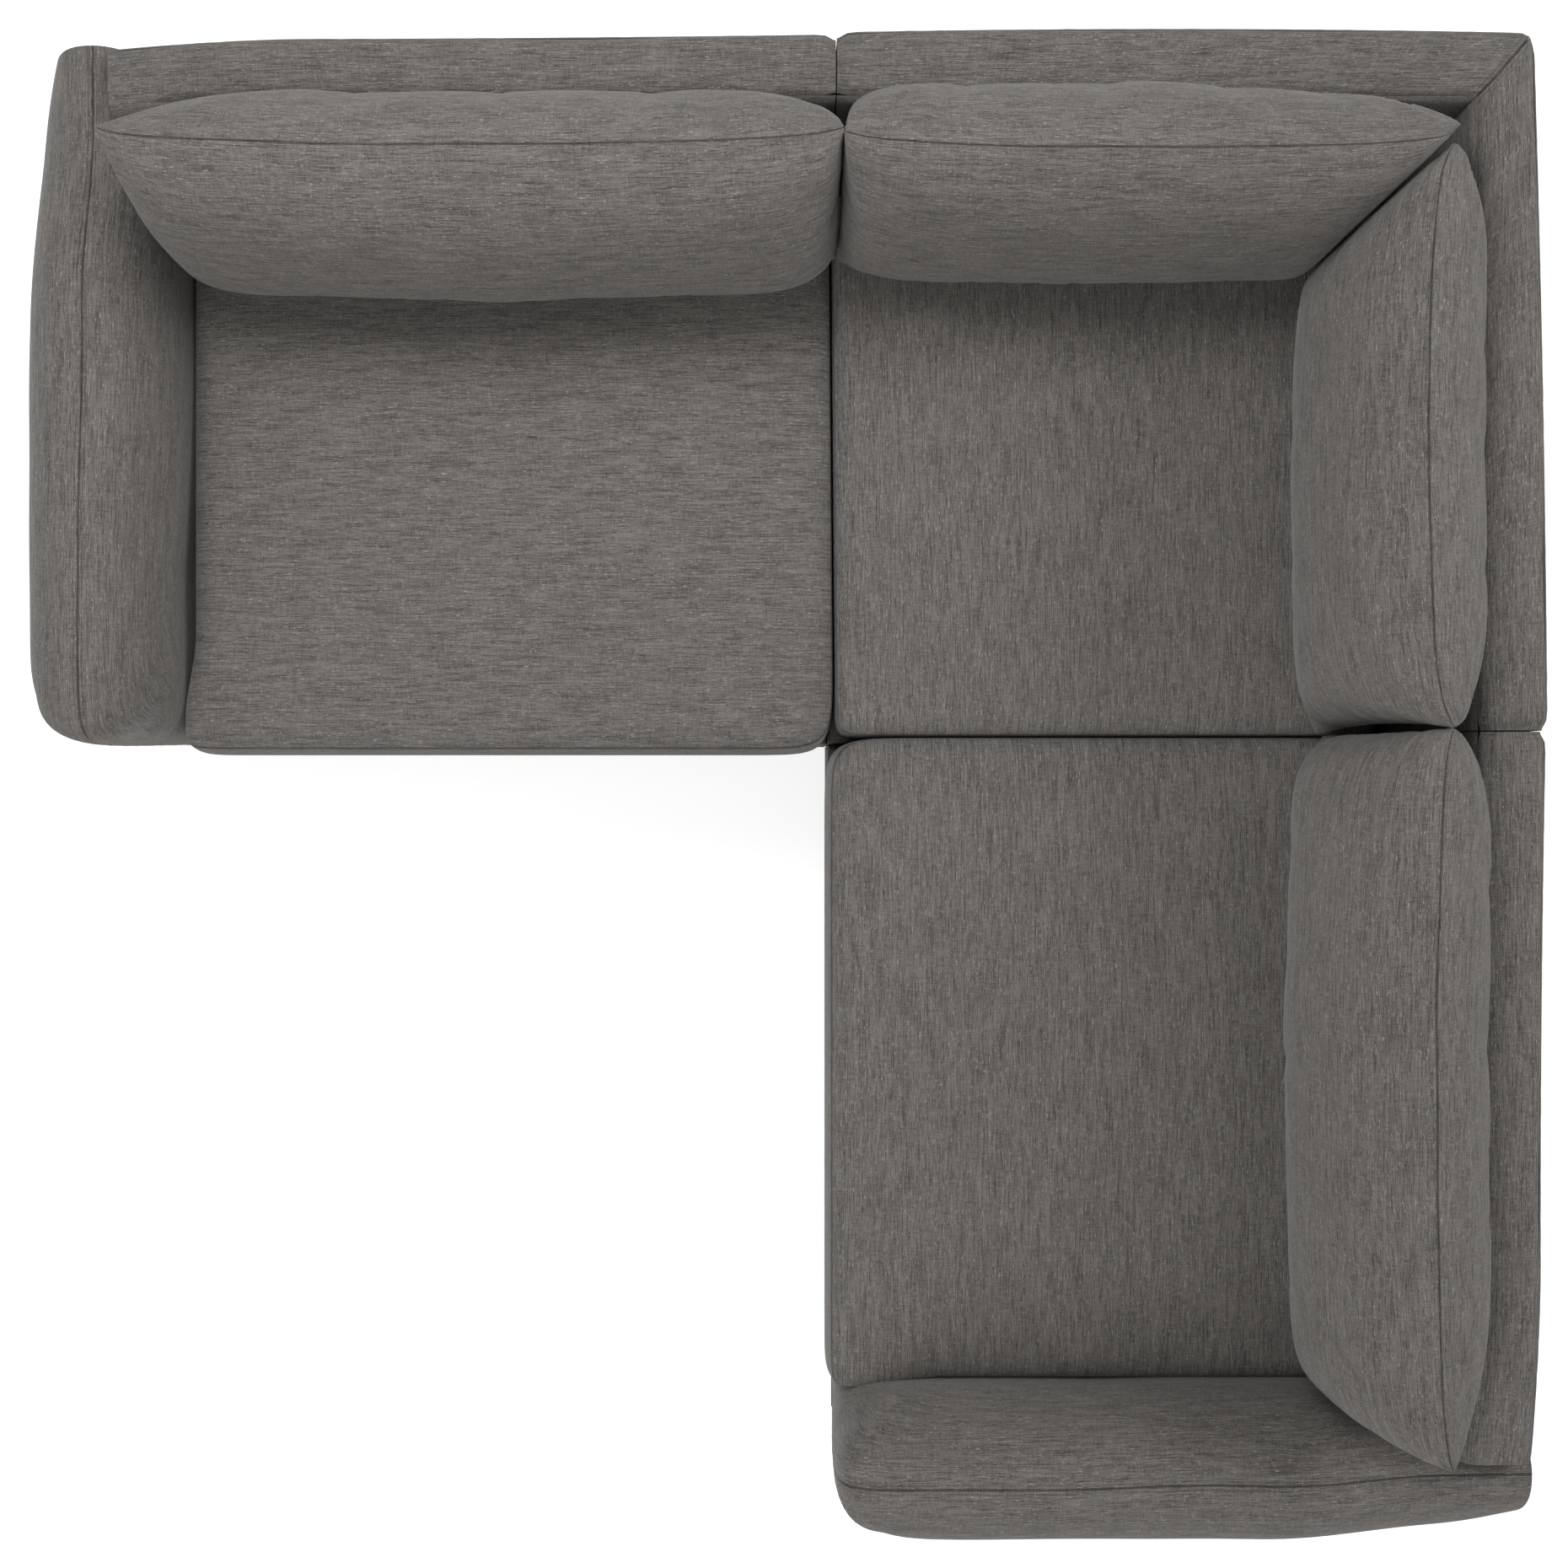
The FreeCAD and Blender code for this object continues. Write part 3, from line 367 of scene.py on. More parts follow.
class Graph:
    """A node tree with short calls to add nodes and to wire them."""

    def __init__(self, tree: Tree) -> None:
        """Keeps the tree and empties it."""
        self.tree = tree
        tree.nodes.clear()

    def add(self, kind: str, **settings: object) -> Node:
        """Adds a node of a kind and sets its properties."""
        node = self.tree.nodes.new(kind)
        for key, value in settings.items():
            setattr(node, key, value)
        return node

    def wire(self, source: object, target: object) -> None:
        """Links an output to an input."""
        self.tree.links.new(source, target)

    def feed(self, node: Node, **values: object) -> Node:
        """Sets or links a node's inputs.

        Args:
            node: The node whose inputs are set.
            **values: Constants or output sockets, by the input's name with _ for a blank,
                or by its index with an i before it.

        Returns:
            The same node.
        """
        for key, value in values.items():
            by_index = key[1:].isdigit()
            socket = node.inputs[int(key[1:]) if by_index else key.replace("_", " ")]
            if isinstance(value, Socket):
                self.wire(value, socket)
            else:
                socket.default_value = value
        return node

    def position(self) -> Socket:
        """Place on the piece in its own coordinates."""
        return self.add("ShaderNodeTexCoord").outputs["Object"]

    def math(self, operation: str, a: object, b: object = 0.0, clamp: bool = False) -> Socket:
        """Output of a Math node on two values or sockets."""
        node = self.add("ShaderNodeMath", operation=operation, use_clamp=clamp)
        return self.feed(node, i0=a, i1=b).outputs[0]

    def times(self, vector: object, factor: object) -> Socket:
        """A vector or a colour multiplied by a number."""
        node = self.add("ShaderNodeVectorMath", operation="SCALE")
        return self.feed(node, i0=vector, Scale=factor).outputs[0]

    def blend(self, share: Socket, first: object, second: Triple) -> Socket:
        """A colour, which may be a socket, mixed with a second colour by a share."""
        node = self.add("ShaderNodeMix", data_type="RGBA")
        start = first if isinstance(first, Socket) else (*first, 1.0)
        return self.feed(node, Factor=share, i6=start, i7=(*second, 1.0)).outputs[2]

    def surface(self, shader: Node, colour: Socket, rough: Socket, height: Socket,
                strength: float, distance: float) -> None:
        """Wires a finish to its shader.

        Args:
            shader: The Principled BSDF.
            colour: Base colour.
            rough: Roughness.
            height: Height of the relief, from 0 to 1.
            strength: Strength of the bump.
            distance: What a height of 1 stands for in metres.
        """
        bump = self.add("ShaderNodeBump")
        self.feed(bump, Strength=strength, Distance=distance, Height=height)
        self.feed(shader, Base_Color=colour, Roughness=rough, Normal=bump.outputs[0])

    def ramp(self, value: object, low: float, high: float,
             to_low: float = 0.0, to_high: float = 1.0) -> Socket:
        """Smooth map of a value from one range to another."""
        node = self.add("ShaderNodeMapRange", interpolation_type="SMOOTHSTEP")
        self.feed(node, Value=value, From_Min=low, From_Max=high, To_Min=to_low, To_Max=to_high)
        return node.outputs["Result"]

    def stretched_noise(self, vector: object, x: float, y: float, z: float,
                        detail: float) -> Socket:
        """Noise whose grains are x by y by z metres."""
        mapping = self.add("ShaderNodeMapping", vector_type="POINT")
        self.feed(mapping, Vector=vector, Scale=(1.0 / x, 1.0 / y, 1.0 / z))
        noise = self.add("ShaderNodeTexNoise", noise_dimensions="3D")
        self.feed(noise, Vector=mapping.outputs[0], Scale=1.0, Detail=detail, Roughness=0.55)
        return noise.outputs["Fac"]

    def yarns(self, vector: object, length: float, pitch: float,
              crosswise: bool = False) -> Socket:
        """Tone of side-by-side yarns, each with a noise of its own along it.

        The yarn's number is the place across it, divided by the pitch and rounded down. Its
        noise starts at a random place that comes from this number.

        Args:
            vector: Cloth coordinates.
            length: Length of an even stretch of a yarn in metres.
            pitch: Distance from yarn to yarn in metres.
            crosswise: Whether the yarns run along Y and not along X.

        Returns:
            Tone around 0.5.
        """
        split = self.feed(self.add("ShaderNodeSeparateXYZ"), Vector=vector)
        run, side = ("Y", "X") if crosswise else ("X", "Y")
        number = self.math("FLOOR", self.math("DIVIDE", split.outputs[side], pitch))
        start = self.feed(self.add("ShaderNodeTexWhiteNoise", noise_dimensions="1D"), W=number)
        place = self.math("DIVIDE", split.outputs[run], length)
        place = self.math("ADD", place, self.math("MULTIPLY", start.outputs["Value"], 9.0))
        apart = self.math("MULTIPLY", number, 0.73)
        joined = self.feed(self.add("ShaderNodeCombineXYZ"), X=place, Y=apart)
        noise = self.add("ShaderNodeTexNoise", noise_dimensions="2D")
        self.feed(noise, Vector=joined.outputs[0], Scale=1.0, Detail=1.0, Roughness=0.55)
        return noise.outputs["Fac"]


def new_group(name: str, vector: str, inputs: dict[str, float],
              outputs: list[str]) -> tuple[Tree, Graph, Node, Node]:
    """Makes a shader node group with named sockets.

    Args:
        name: Name of the group.
        vector: Name of its first input, a vector.
        inputs: Names of its other inputs, numbers, with their defaults.
        outputs: Names of its outputs, numbers.

    Returns:
        The group, its graph, its input node and its output node.
    """
    group = bpy.data.node_groups.new(name, "ShaderNodeTree")
    graph = Graph(group)
    sockets = group.interface
    sockets.new_socket(name=vector, in_out="INPUT", socket_type="NodeSocketVector")
    for title, default in inputs.items():
        made = sockets.new_socket(name=title, in_out="INPUT", socket_type="NodeSocketFloat")
        made.default_value = default
    for title in outputs:
        sockets.new_socket(name=title, in_out="OUTPUT", socket_type="NodeSocketFloat")
    return group, graph, graph.add("NodeGroupInput"), graph.add("NodeGroupOutput")


def heather_group() -> Tree:
    """Heathered plain weave: yarn streaks along X of the cloth, crossing threads and slubs.

    Returns:
        A group that puts out a tone around 0.5, a slub mask and a height.
    """
    group, g, source, sink = new_group(
        "heathered_weave", "Cloth", {"Yarn": 1.0, "Slubs": 1.0}, ["Tone", "Slub", "Height"])
    cloth = g.times(source.outputs["Cloth"], source.outputs["Yarn"])
    long_streak = g.yarns(cloth, 0.055, 0.0012)
    short_streak = g.yarns(cloth, 0.012, 0.0009)
    crossing = g.yarns(cloth, 0.018, 0.0011, crosswise=True)
    grain = g.stretched_noise(cloth, 0.0018, 0.0009, 1.0, 1.0)
    patchy = g.stretched_noise(cloth, 0.070, 0.014, 1.0, 2.0)
    tone = g.math("MULTIPLY", g.math("SUBTRACT", long_streak, 0.5), 1.05)
    for part, share in ((short_streak, 0.95), (crossing, 0.55), (grain, 1.3), (patchy, 0.50)):
        tone = g.math("ADD", tone, g.math("MULTIPLY", g.math("SUBTRACT", part, 0.5), share))
    g.wire(g.math("ADD", tone, 0.5, clamp=True), sink.inputs["Tone"])
    slub = g.ramp(g.yarns(cloth, 0.011, 0.0010), 0.68, 0.80)
    g.wire(g.math("MULTIPLY", slub, source.outputs["Slubs"]), sink.inputs["Slub"])
    height = g.math("ADD", g.math("MULTIPLY", short_streak, 0.5), g.math("MULTIPLY", grain, 0.5))
    height = g.math("ADD", height, g.math("MULTIPLY", slub, 0.35))
    g.wire(height, sink.inputs["Height"])
    return group


def wear_group() -> Tree:
    """Slow, cloudy change of tone over a surface, from wear and light soiling.

    Returns:
        A group that puts out a value about 1 to multiply a colour by.
    """
    group, g, source, sink = new_group(
        "slow_wear", "Position", {"Size": 0.3, "Strength": 0.05}, ["Factor"])
    per_size = g.math("DIVIDE", 1.0, source.outputs["Size"])
    place = g.times(source.outputs["Position"], per_size)
    noise = g.feed(g.add("ShaderNodeTexNoise"), Vector=place, Scale=1.0, Detail=3.0)
    swing = g.math("SUBTRACT", noise.outputs["Fac"], 0.5)
    swing = g.math("MULTIPLY", swing, source.outputs["Strength"])
    g.wire(g.math("ADD", g.math("MULTIPLY", swing, 2.0), 1.0), sink.inputs["Factor"])
    return group


class Shared:
    """Node groups that more than one finish uses, made once."""

    made: dict[str, Tree] = {}
    makers = {"heather": heather_group, "wear": wear_group}

    @classmethod
    def get(cls, name: str) -> Tree:
        """The group of that name, made on its first use."""
        if name not in cls.made:
            cls.made[name] = cls.makers[name]()
        return cls.made[name]

    @classmethod
    def place(cls, graph: Graph, name: str, **values: object) -> Node:
        """A node that uses a shared group, with its inputs set."""
        node = graph.add("ShaderNodeGroup", node_tree=cls.get(name))
        return graph.feed(node, **values)


class Finish:
    """A named material that is built when it is first used."""

    name: str

    def material(self) -> bpy.types.Material:
        """The Blender material of this finish, made once."""
        found = bpy.data.materials.get(self.name)
        if found is not None:
            return found
        material = bpy.data.materials.new(self.name)
        material.use_nodes = True
        graph = Graph(material.node_tree)
        output = graph.add("ShaderNodeOutputMaterial")
        shader = graph.add("ShaderNodeBsdfPrincipled")
        graph.wire(shader.outputs[0], output.inputs["Surface"])
        self.build(graph, shader)
        return material

    def build(self, graph: Graph, shader: Node) -> None:
        """Fills the material's graph."""
        raise NotImplementedError

    def dress(self, piece: Piece) -> None:
        """Puts this finish on every face of a piece."""
        piece.data.materials.clear()
        piece.data.materials.append(self.material())
        first_slot = np.zeros(len(piece.data.polygons), np.int32)
        piece.data.polygons.foreach_set("material_index", first_slot)


@dataclass(frozen=True)
class WovenFabric(Finish):
    """Heathered fabric that follows the piece's own cloth map, with painted shade along its seams.

    Args:
        name: Name of the material.
        dark: Linear colour of the dark yarn.
        light: Linear colour of the light yarn.
        slub: Linear colour of the pale slubs.
        slub_share: How strongly the slubs show.
        relief: Height of the weave in metres.
        yarn: Scale of the weave; more than 1 is finer.
        sheen: Strength of the soft rim light.
        topstitch: Distance from the seam in metres of a stitched groove drawn as a line of painted
            shade, or 0 for none.
    """

    name: str
    dark: Triple = (0.071, 0.065, 0.0600)
    light: Triple = (0.262, 0.243, 0.227)
    slub: Triple = (0.420, 0.400, 0.375)
    slub_share: float = 0.70
    relief: float = 0.0009
    yarn: float = 1.0
    sheen: float = 0.22
    topstitch: float = 0.0

    def build(self, graph: Graph, shader: Node) -> None:
        """Mixes the yarn colours by the weave's tone, then adds slubs, wear and painted seam
        shadow.
        """
        cloth = graph.add("ShaderNodeUVMap", uv_map="cloth").outputs[0]
        weave = Shared.place(graph, "heather", Cloth=cloth, Yarn=self.yarn, Slubs=self.slub_share)
        tone = weave.outputs["Tone"]
        position = graph.position()
        wear = Shared.place(graph, "wear", Position=position, Size=0.35, Strength=0.07)
        seam = graph.add("ShaderNodeAttribute", attribute_name="seam").outputs["Fac"]
        yarn = graph.blend(tone, self.dark, self.light)
        slubbed = graph.blend(weave.outputs["Slub"], yarn, self.slub)
        # Painted shade: the colour falls to 0.36 of itself in each seam's valley, standing in for
        # the shadow there
        valley = graph.ramp(seam, 0.0002, 0.0030, 0.36, 1.0)
        wear_and_painted_shade = graph.math("MULTIPLY", valley, wear.outputs["Factor"])
        if self.topstitch:
            # Painted shade: a thin line darkened to 0.76 where the stitched groove would hold its
            # shadow
            off_line = graph.math("ABSOLUTE", graph.math("SUBTRACT", seam, self.topstitch))
            wear_and_painted_shade = graph.math("MULTIPLY", wear_and_painted_shade, graph.ramp(off_line, 0.0002, 0.0013, 0.76, 1.0))
        rough = graph.ramp(tone, 0.2, 0.8, 0.97, 0.86)
        graph.surface(shader, graph.times(slubbed, wear_and_painted_shade), rough, weave.outputs["Height"],
                      0.75, self.relief)
        graph.feed(shader, Specular_IOR_Level=0.18, Sheen_Weight=self.sheen, Sheen_Roughness=0.45)


@dataclass(frozen=True)
class PlainCloth(Finish):
    """Thin technical cloth, deck lining or webbing, with a fine weave in object space.

    Args:
        name: Name of the material.
        dark: Linear colour between the threads.
        light: Linear colour of the threads.
        thread: Width of a thread in metres.
        stripe: Spacing of sewn stripes across X and Y in metres, or 0 for none.
    """

    name: str
    dark: Triple
    light: Triple
    thread: float = 0.0012
    stripe: float = 0.0

    def build(self, graph: Graph, shader: Node) -> None:
        """Threads by fine noise, stripes by a triangle wave and slow wear over both."""
        position = graph.position()
        grain = graph.stretched_noise(position, self.thread * 4.0, self.thread, self.thread, 2.0)
        cross = graph.stretched_noise(position, self.thread, self.thread * 4.0, self.thread, 2.0)
        tone = graph.ramp(graph.math("ADD", grain, cross), 0.75, 1.25)
        wear = Shared.place(graph, "wear", Position=position, Size=0.2, Strength=0.1)
        if self.stripe:
            wave = graph.add("ShaderNodeTexWave", bands_direction="DIAGONAL")
            graph.feed(wave, Vector=position, Scale=1.0 / self.stripe, Distortion=0.4)
            stripes = graph.ramp(wave.outputs["Fac"], 0.1, 0.5, 0.55, 1.0)
            tone = graph.math("MULTIPLY", tone, stripes)
        colour = graph.times(graph.blend(tone, self.dark, self.light), wear.outputs["Factor"])
        rough = graph.ramp(tone, 0.0, 1.0, 0.95, 0.8)
        graph.surface(shader, colour, rough, tone, 0.5, self.thread * 0.4)
        graph.feed(shader, Specular_IOR_Level=0.2)


@dataclass(frozen=True)
class Timber(Finish):
    """Sawn softwood with growth rings, drawn out along one axis.

    Args:
        name: Name of the material.
        pale: Linear colour of the early wood.
        deep: Linear colour of the late wood.
    """

    name: str
    pale: Triple = (0.62, 0.43, 0.25)
    deep: Triple = (0.38, 0.23, 0.11)

    def build(self, graph: Graph, shader: Node) -> None:
        """Bands of distorted noise for the rings and fine pores for the bump."""
        position = graph.position()
        rings = graph.stretched_noise(position, 0.35, 0.35, 0.014, 3.0)
        bands = graph.math("FRACT", graph.math("MULTIPLY", rings, 7.0))
        tone = graph.ramp(bands, 0.15, 0.95)
        pores = graph.stretched_noise(position, 0.02, 0.02, 0.0015, 2.0)
        wear = Shared.place(graph, "wear", Position=position, Size=0.15, Strength=0.12)
        colour = graph.times(graph.blend(tone, self.pale, self.deep), wear.outputs["Factor"])
        rough = graph.ramp(pores, 0.3, 0.7, 0.75, 0.55)
        graph.surface(shader, colour, rough, pores, 0.4, 0.0004)


@dataclass(frozen=True)
class Moulded(Finish):
    """Moulded plastic or coated metal with a fine grain.

    Args:
        name: Name of the material.
        colour: Linear colour.
        roughness: Mean roughness.
        metallic: 1 for bare metal.
        grain: Size of the surface grain in metres.
    """

    name: str
    colour: Triple
    roughness: float
    metallic: float = 0.0
    grain: float = 0.0008

    def build(self, graph: Graph, shader: Node) -> None:
        """Fine grain in the bump and the roughness, and slow wear in the colour."""
        position = graph.position()
        grain = graph.stretched_noise(position, self.grain, self.grain, self.grain, 2.0)
        wear = Shared.place(graph, "wear", Position=position, Size=0.03, Strength=0.18)
        colour = graph.times(self.colour, wear.outputs["Factor"])
        rough = graph.ramp(grain, 0.3, 0.7, self.roughness - 0.08, self.roughness + 0.08)
        graph.surface(shader, colour, rough, grain, 0.3, self.grain * 0.3)
        graph.feed(shader, Metallic=self.metallic)


CUSHION_FABRIC = WovenFabric("cushion_fabric_heather")
PANEL_FABRIC = WovenFabric("upholstery_fabric_heather", topstitch=0.0058)
DECK_CLOTH = PlainCloth("deck_cloth_grey", (0.045, 0.042, 0.040), (0.11, 0.105, 0.10), 0.0014)
DUST_CLOTH = PlainCloth("dust_cloth_black", (0.012, 0.012, 0.012), (0.035, 0.035, 0.036), 0.0010)
WEBBING = PlainCloth("elastic_webbing_ecru", (0.34, 0.29, 0.22), (0.62, 0.56, 0.46), 0.0018, 0.012)
FOAM = Moulded("foam_cream", (0.80, 0.72, 0.48), 0.9, 0.0, 0.0016)
FIBRE = Moulded("fibre_white", (0.82, 0.82, 0.80), 0.95, 0.0, 0.0030)
TIMBER = Timber("timber_pine")
FOOT_PLASTIC = Moulded("foot_plastic_black", (0.022, 0.022, 0.023), 0.48)
ZINC_STEEL = Moulded("zinc_steel_satin", (0.62, 0.62, 0.60), 0.34, 1.0, 0.0005)
COATED_STEEL = Moulded("connector_steel_black", (0.030, 0.030, 0.032), 0.42, 0.0, 0.0006)


# Loose back cushions


class End(Enum):
    """How a back cushion ends: in a tip, in a fuller tip, pressed flat or pressed square."""

    TIP = "tip"
    CORNER = "corner"
    BLUNT = "blunt"
    SQUARE = "square"


# Reach in metres and the exponents p and q of each end, at the front (-1) and the rear (1)
END_FORMS: dict[tuple[End, int], Triple] = {
    (End.TIP, -1): (0.135, 2.6, 0.27),
    (End.TIP, 1): (0.25, 2.2, 0.50),
    (End.CORNER, -1): (0.185, 2.4, 0.50),
    (End.CORNER, 1): (0.13, 2.2, 0.36),
    (End.BLUNT, -1): (0.13, 2.6, 0.25),
    (End.BLUNT, 1): (0.16, 2.4, 0.36),
    (End.SQUARE, -1): (0.12, 2.6, 0.20),
    (End.SQUARE, 1): (0.12, 2.4, 0.22),
}


@dataclass(frozen=True)
class FaceForm:
    """How the front or the rear of a back cushion runs from its top seam to its foot.

    Args:
        fattest: Share of the height where it stands out most.
        foot: Exponent of the part below that; more is boxier.
        recede: Share by which it recedes at the foot.
        taper: Shares of the length where a taper starts and stops.
    """

    fattest: float
    foot: float
    recede: float
    taper: Pair


FRONT_FACE = FaceForm(0.37, 4.0, 0.48, (0.1, 0.9))
REAR_FACE = FaceForm(0.66, 6.0, 0.20, (0.5, 1.0))


@dataclass
class BackCushion(SoftPiece):
    """A knife-edged cushion of two panels, plump in the middle and thin at its seam.

    Args:
        start: X of its left end.
        end: X of its right end.
        start_end: Form of its left end.
        end_end: Form of its right end.
        seam_y: Y of the top seam in the middle.
        front: Depth from the seam plane to the front at its fattest.
        rear: Depth from the seam plane to the rear at its fattest.
        foot_tuck: How far the left side moves in below the arm's top.
        foot_z: Height of its foot.
        top_z: Height of its top seam.
        lean: How far the seam plane leans back for each metre of height.
        tip_back: How far each tip of the seam stands back.
        bow_back: How far the whole seam bows back towards its ends.
        belly: Share by which the faces are thinner at the ends than in the middle.
        pressed_beyond: X minus Y of the plane where it meets its neighbour, if it does.
        side_draw: How far the left and the right side are drawn in at half height.
        swell: How much thinner each face starts, because the cloth run lets it swell.
        taper: Shares by which the front and the rear get thinner towards the right end.
        step: Length of a grid step.
        fill_gap: How much smaller its pad is at the faces and the foot.
        fill_end_gap: How much smaller its pad is at each end.
        fill_top_gap: How much lower its pad is.
    """

    start: float
    end: float
    start_end: End
    end_end: End
    seam_y: float = 0.8435
    front: float = 0.116
    rear: float = 0.117
    foot_tuck: float = 0.0
    foot_z: float = 0.4537
    top_z: float = 0.836
    lean: float = 0.104
    tip_back: float = 0.013
    bow_back: float = 0.0145
    belly: float = 0.12
    pressed_beyond: float | None = None
    side_draw: Pair = (0.010, 0.003)
    swell: float = 0.0055
    taper: Pair = (0.0, 0.0)
    step: float = 0.0095
    fill_gap: float = 0.022
    fill_end_gap: float = 0.05
    fill_top_gap: float = 0.06

    def end_curve(self, form: End, side: int) -> Array:
        """Inset from the tip and thickness share of an end, from its tip to full thickness.

        The inset is L (1 - sin(a)^(2/p)) and the thickness cos(a)^(2q), a falling from a
        right angle to 0.
        """
        reach, p, q = END_FORMS[form, side]
        a = np.linspace(QUARTER_TURN, 0.0, 200)
        share = np.maximum(np.cos(a), 0.0) ** (2.0 * q)
        share[0] = 0.0
        return np.stack([reach * (1.0 - np.sin(a) ** (2.0 / p)), share], axis=1)

    def columns(self) -> tuple[Array, Array]:
        """Places along the cushion, even along the front's plan outline.

        Returns:
            X and cloth distance of each column.
        """
        scale = np.array([1.0, self.front])
        left = self.end_curve(self.start_end, -1) * scale + [self.start, 0.0]
        right = self.end_curve(self.end_end, -1)[::-1] * scale * [-1.0, 1.0] + [self.end, 0.0]
        curve = np.concatenate([left, right])
        s = spaced(length_of(curve), self.step)
        return along(curve, s)[:, 0], s

    def shares(self, x: Array, side: int) -> Array:
        """Thickness share of the front or the rear at places along the cushion."""
        left = self.end_curve(self.start_end, side)
        right = self.end_curve(self.end_end, side)
        first = np.interp(x - self.start, left[:, 0], left[:, 1])
        last = np.interp(self.end - x, right[:, 0], right[:, 1])
        return first * last

    def rows(self, depth: float, form: FaceForm) -> tuple[Array, Array, Array]:
        """Section from the top seam over one face to the foot's middle.

        The upper part is close to a quarter of an ellipse, the lower part is boxier.

        Args:
            depth: Depth of the face in metres.
            form: Form of the face.

        Returns:
            Thickness share, height share and cloth distance of each row.
        """
        a = np.linspace(0.0, QUARTER_TURN, 240)
        height = self.top_z - self.foot_z
        up = form.fattest + (1.0 - form.fattest) * np.cos(a) ** 1.04
        upper = np.stack([depth * np.sin(a) ** 0.92, height * up], axis=1)
        low_level = 1.0 - np.sin(a) ** (2.0 / 2.6)
        recede = 1.0 - form.recede * (1.0 - low_level) ** 1.1
        lower = np.stack([depth * recede * np.maximum(np.cos(a), 0.0) ** (2.0 / form.foot),
                          height * form.fattest * low_level], axis=1)
        curve = np.concatenate([upper, lower[1:]])
        t = spaced(length_of(curve), self.step)
        found = along(curve, t)
        return found[:, 0] / depth, found[:, 1] / height, t

    def face(self, side: int) -> Patch:
        """One panel of the cover.

        Args:
            side: 1 for the rear, -1 for the front.

        Returns:
            The panel as a patch, rows from the top seam to the foot.
        """
        x, s = self.columns()
        share = self.shares(x, side)
        form, depth, taper = (
            (REAR_FACE, self.rear - self.swell, self.taper[1]) if side > 0
            else (FRONT_FACE, self.front - self.swell, self.taper[0]))
        thick, level, t = self.rows(depth, form)
        height = self.top_z - self.foot_z
        from_start = x - self.start
        from_end = self.end - x
        off_centre = np.abs(2.0 * from_start / (self.end - self.start) - 1.0)
        share = share * (1.0 - self.belly * off_centre ** 1.5)
        run = from_start / (self.end - self.start)
        share = share * (1.0 - taper * smooth(run, *form.taper))
        low = np.clip(1.0 - level / form.fattest, 0.0, 1.0)
        share = share[None, :] ** (1.0 + 1.3 * low[:, None] ** 1.5)
        tips = self.bow_back * off_centre ** 2.5
        tips = tips + self.tip_back * (np.exp(-from_start / 0.03) + np.exp(-from_end / 0.03))
        drop = 0.016 * (np.exp(-from_start / 0.05) + np.exp(-from_end / 0.05))
        z = self.foot_z + np.outer(level, height - drop)
        seam = self.seam_y + self.lean * (z - self.top_z)
        wobble = 0.0012 * waves(s, self.seed, (0.24, 0.41, 0.73))
        y = seam + tips * level[:, None] + wobble * level[:, None] ** 2
        y = y + side * depth * thick[:, None] * share
        bow = 4.0 * level * (1.0 - level)
        near_start = bell(from_start, 0.10)
        near_end = bell(from_end, 0.06)
        tuck = self.foot_tuck * (1.0 - smooth(level, 0.15, 0.72))
        draw = self.side_draw[0] * near_start - self.side_draw[1] * near_end
        grid_x = x + np.outer(bow, draw) + np.outer(tuck, near_start)
        points = np.stack([grid_x, y, z], axis=2)
        cloth = paired(s + self.seed * 1.37, side * t + self.seed * 0.71)
        away_top = np.broadcast_to(t[:, None], z.shape)
        away_sides = np.broadcast_to(np.minimum(s, s[-1] - s)[None, :], z.shape)
        seam_distance = np.minimum(np.minimum(away_top, t[-1] - away_top), away_sides)
        patch = Patch(points, cloth, seam_distance)
        outward = np.array([0.0, float(side), 0.0])
        amount = seam_rise(seam_distance, 0.0022)
        amount = amount + puckers(s[None, :], away_top, self.seed + side, 0.0011)
        amount = amount + puckers(t[:, None], away_sides, self.seed + 7 + side, 0.0022, 0.05)
        soft = 0.0016 * waves(s[None, :] + 0.6 * t[:, None], self.seed + 11, (0.17, 0.29, 0.47))
        amount = amount + soft * (1.0 - np.exp(-seam_distance / 0.03))
        amount = amount * np.minimum(1.0, level / 0.08)[:, None]
        patch = patch.pushed(amount, outward)
        if self.pressed_beyond is not None:
            patch.points = self.pressed(patch.points)
        return patch

    def pressed(self, points: Array) -> Array:
        """Flattens the front of the corner end on the plane where it meets its neighbour.

        The overlap w beyond the plane becomes -s ln(1 + exp(-w / s)), which leaves points
        well before the plane alone and gathers the others just before it.
        """
        x, y = points[..., 0], points[..., 1]
        sign = 1.0 if self.hand is Hand.LEFT else -1.0
        beyond = self.pressed_beyond + sign * 0.0085 * smooth(y, 0.74, 0.87)
        w = x - y - beyond
        s = PRESS_ROUND
        kept = -s * np.logaddexp(0.0, -w / s)
        moved = points.copy()
        moved[..., 0] -= (w - kept) / 2.0
        moved[..., 1] += (w - kept) / 2.0
        return moved

    def limited(self, points: Array) -> Array:
        """Presses the cloth's points on the contact plane again after they have moved."""
        if self.pressed_beyond is None:
            return points
        return in_hand(self.pressed(in_hand(points, self.hand)), self.hand)

    def patches(self) -> list[Patch]:
        """The rear and the front panel."""
        return [self.face(1), self.face(-1)]

    def fill(self) -> "BackCushion":
        """The fibre pad inside: the same form, drawn in on every side."""
        return replace(
            self, name=self.name + "_pad", start=self.start + self.fill_end_gap,
            end=self.end - self.fill_end_gap, front=self.front - self.fill_gap,
            rear=self.rear - self.fill_gap, foot_z=self.foot_z + self.fill_gap,
            top_z=self.top_z - self.fill_top_gap, step=0.02,
            seam_y=self.seam_y - self.lean * self.fill_top_gap, tip_back=0.0,
            pressed_beyond=self.fill_pressed_beyond())

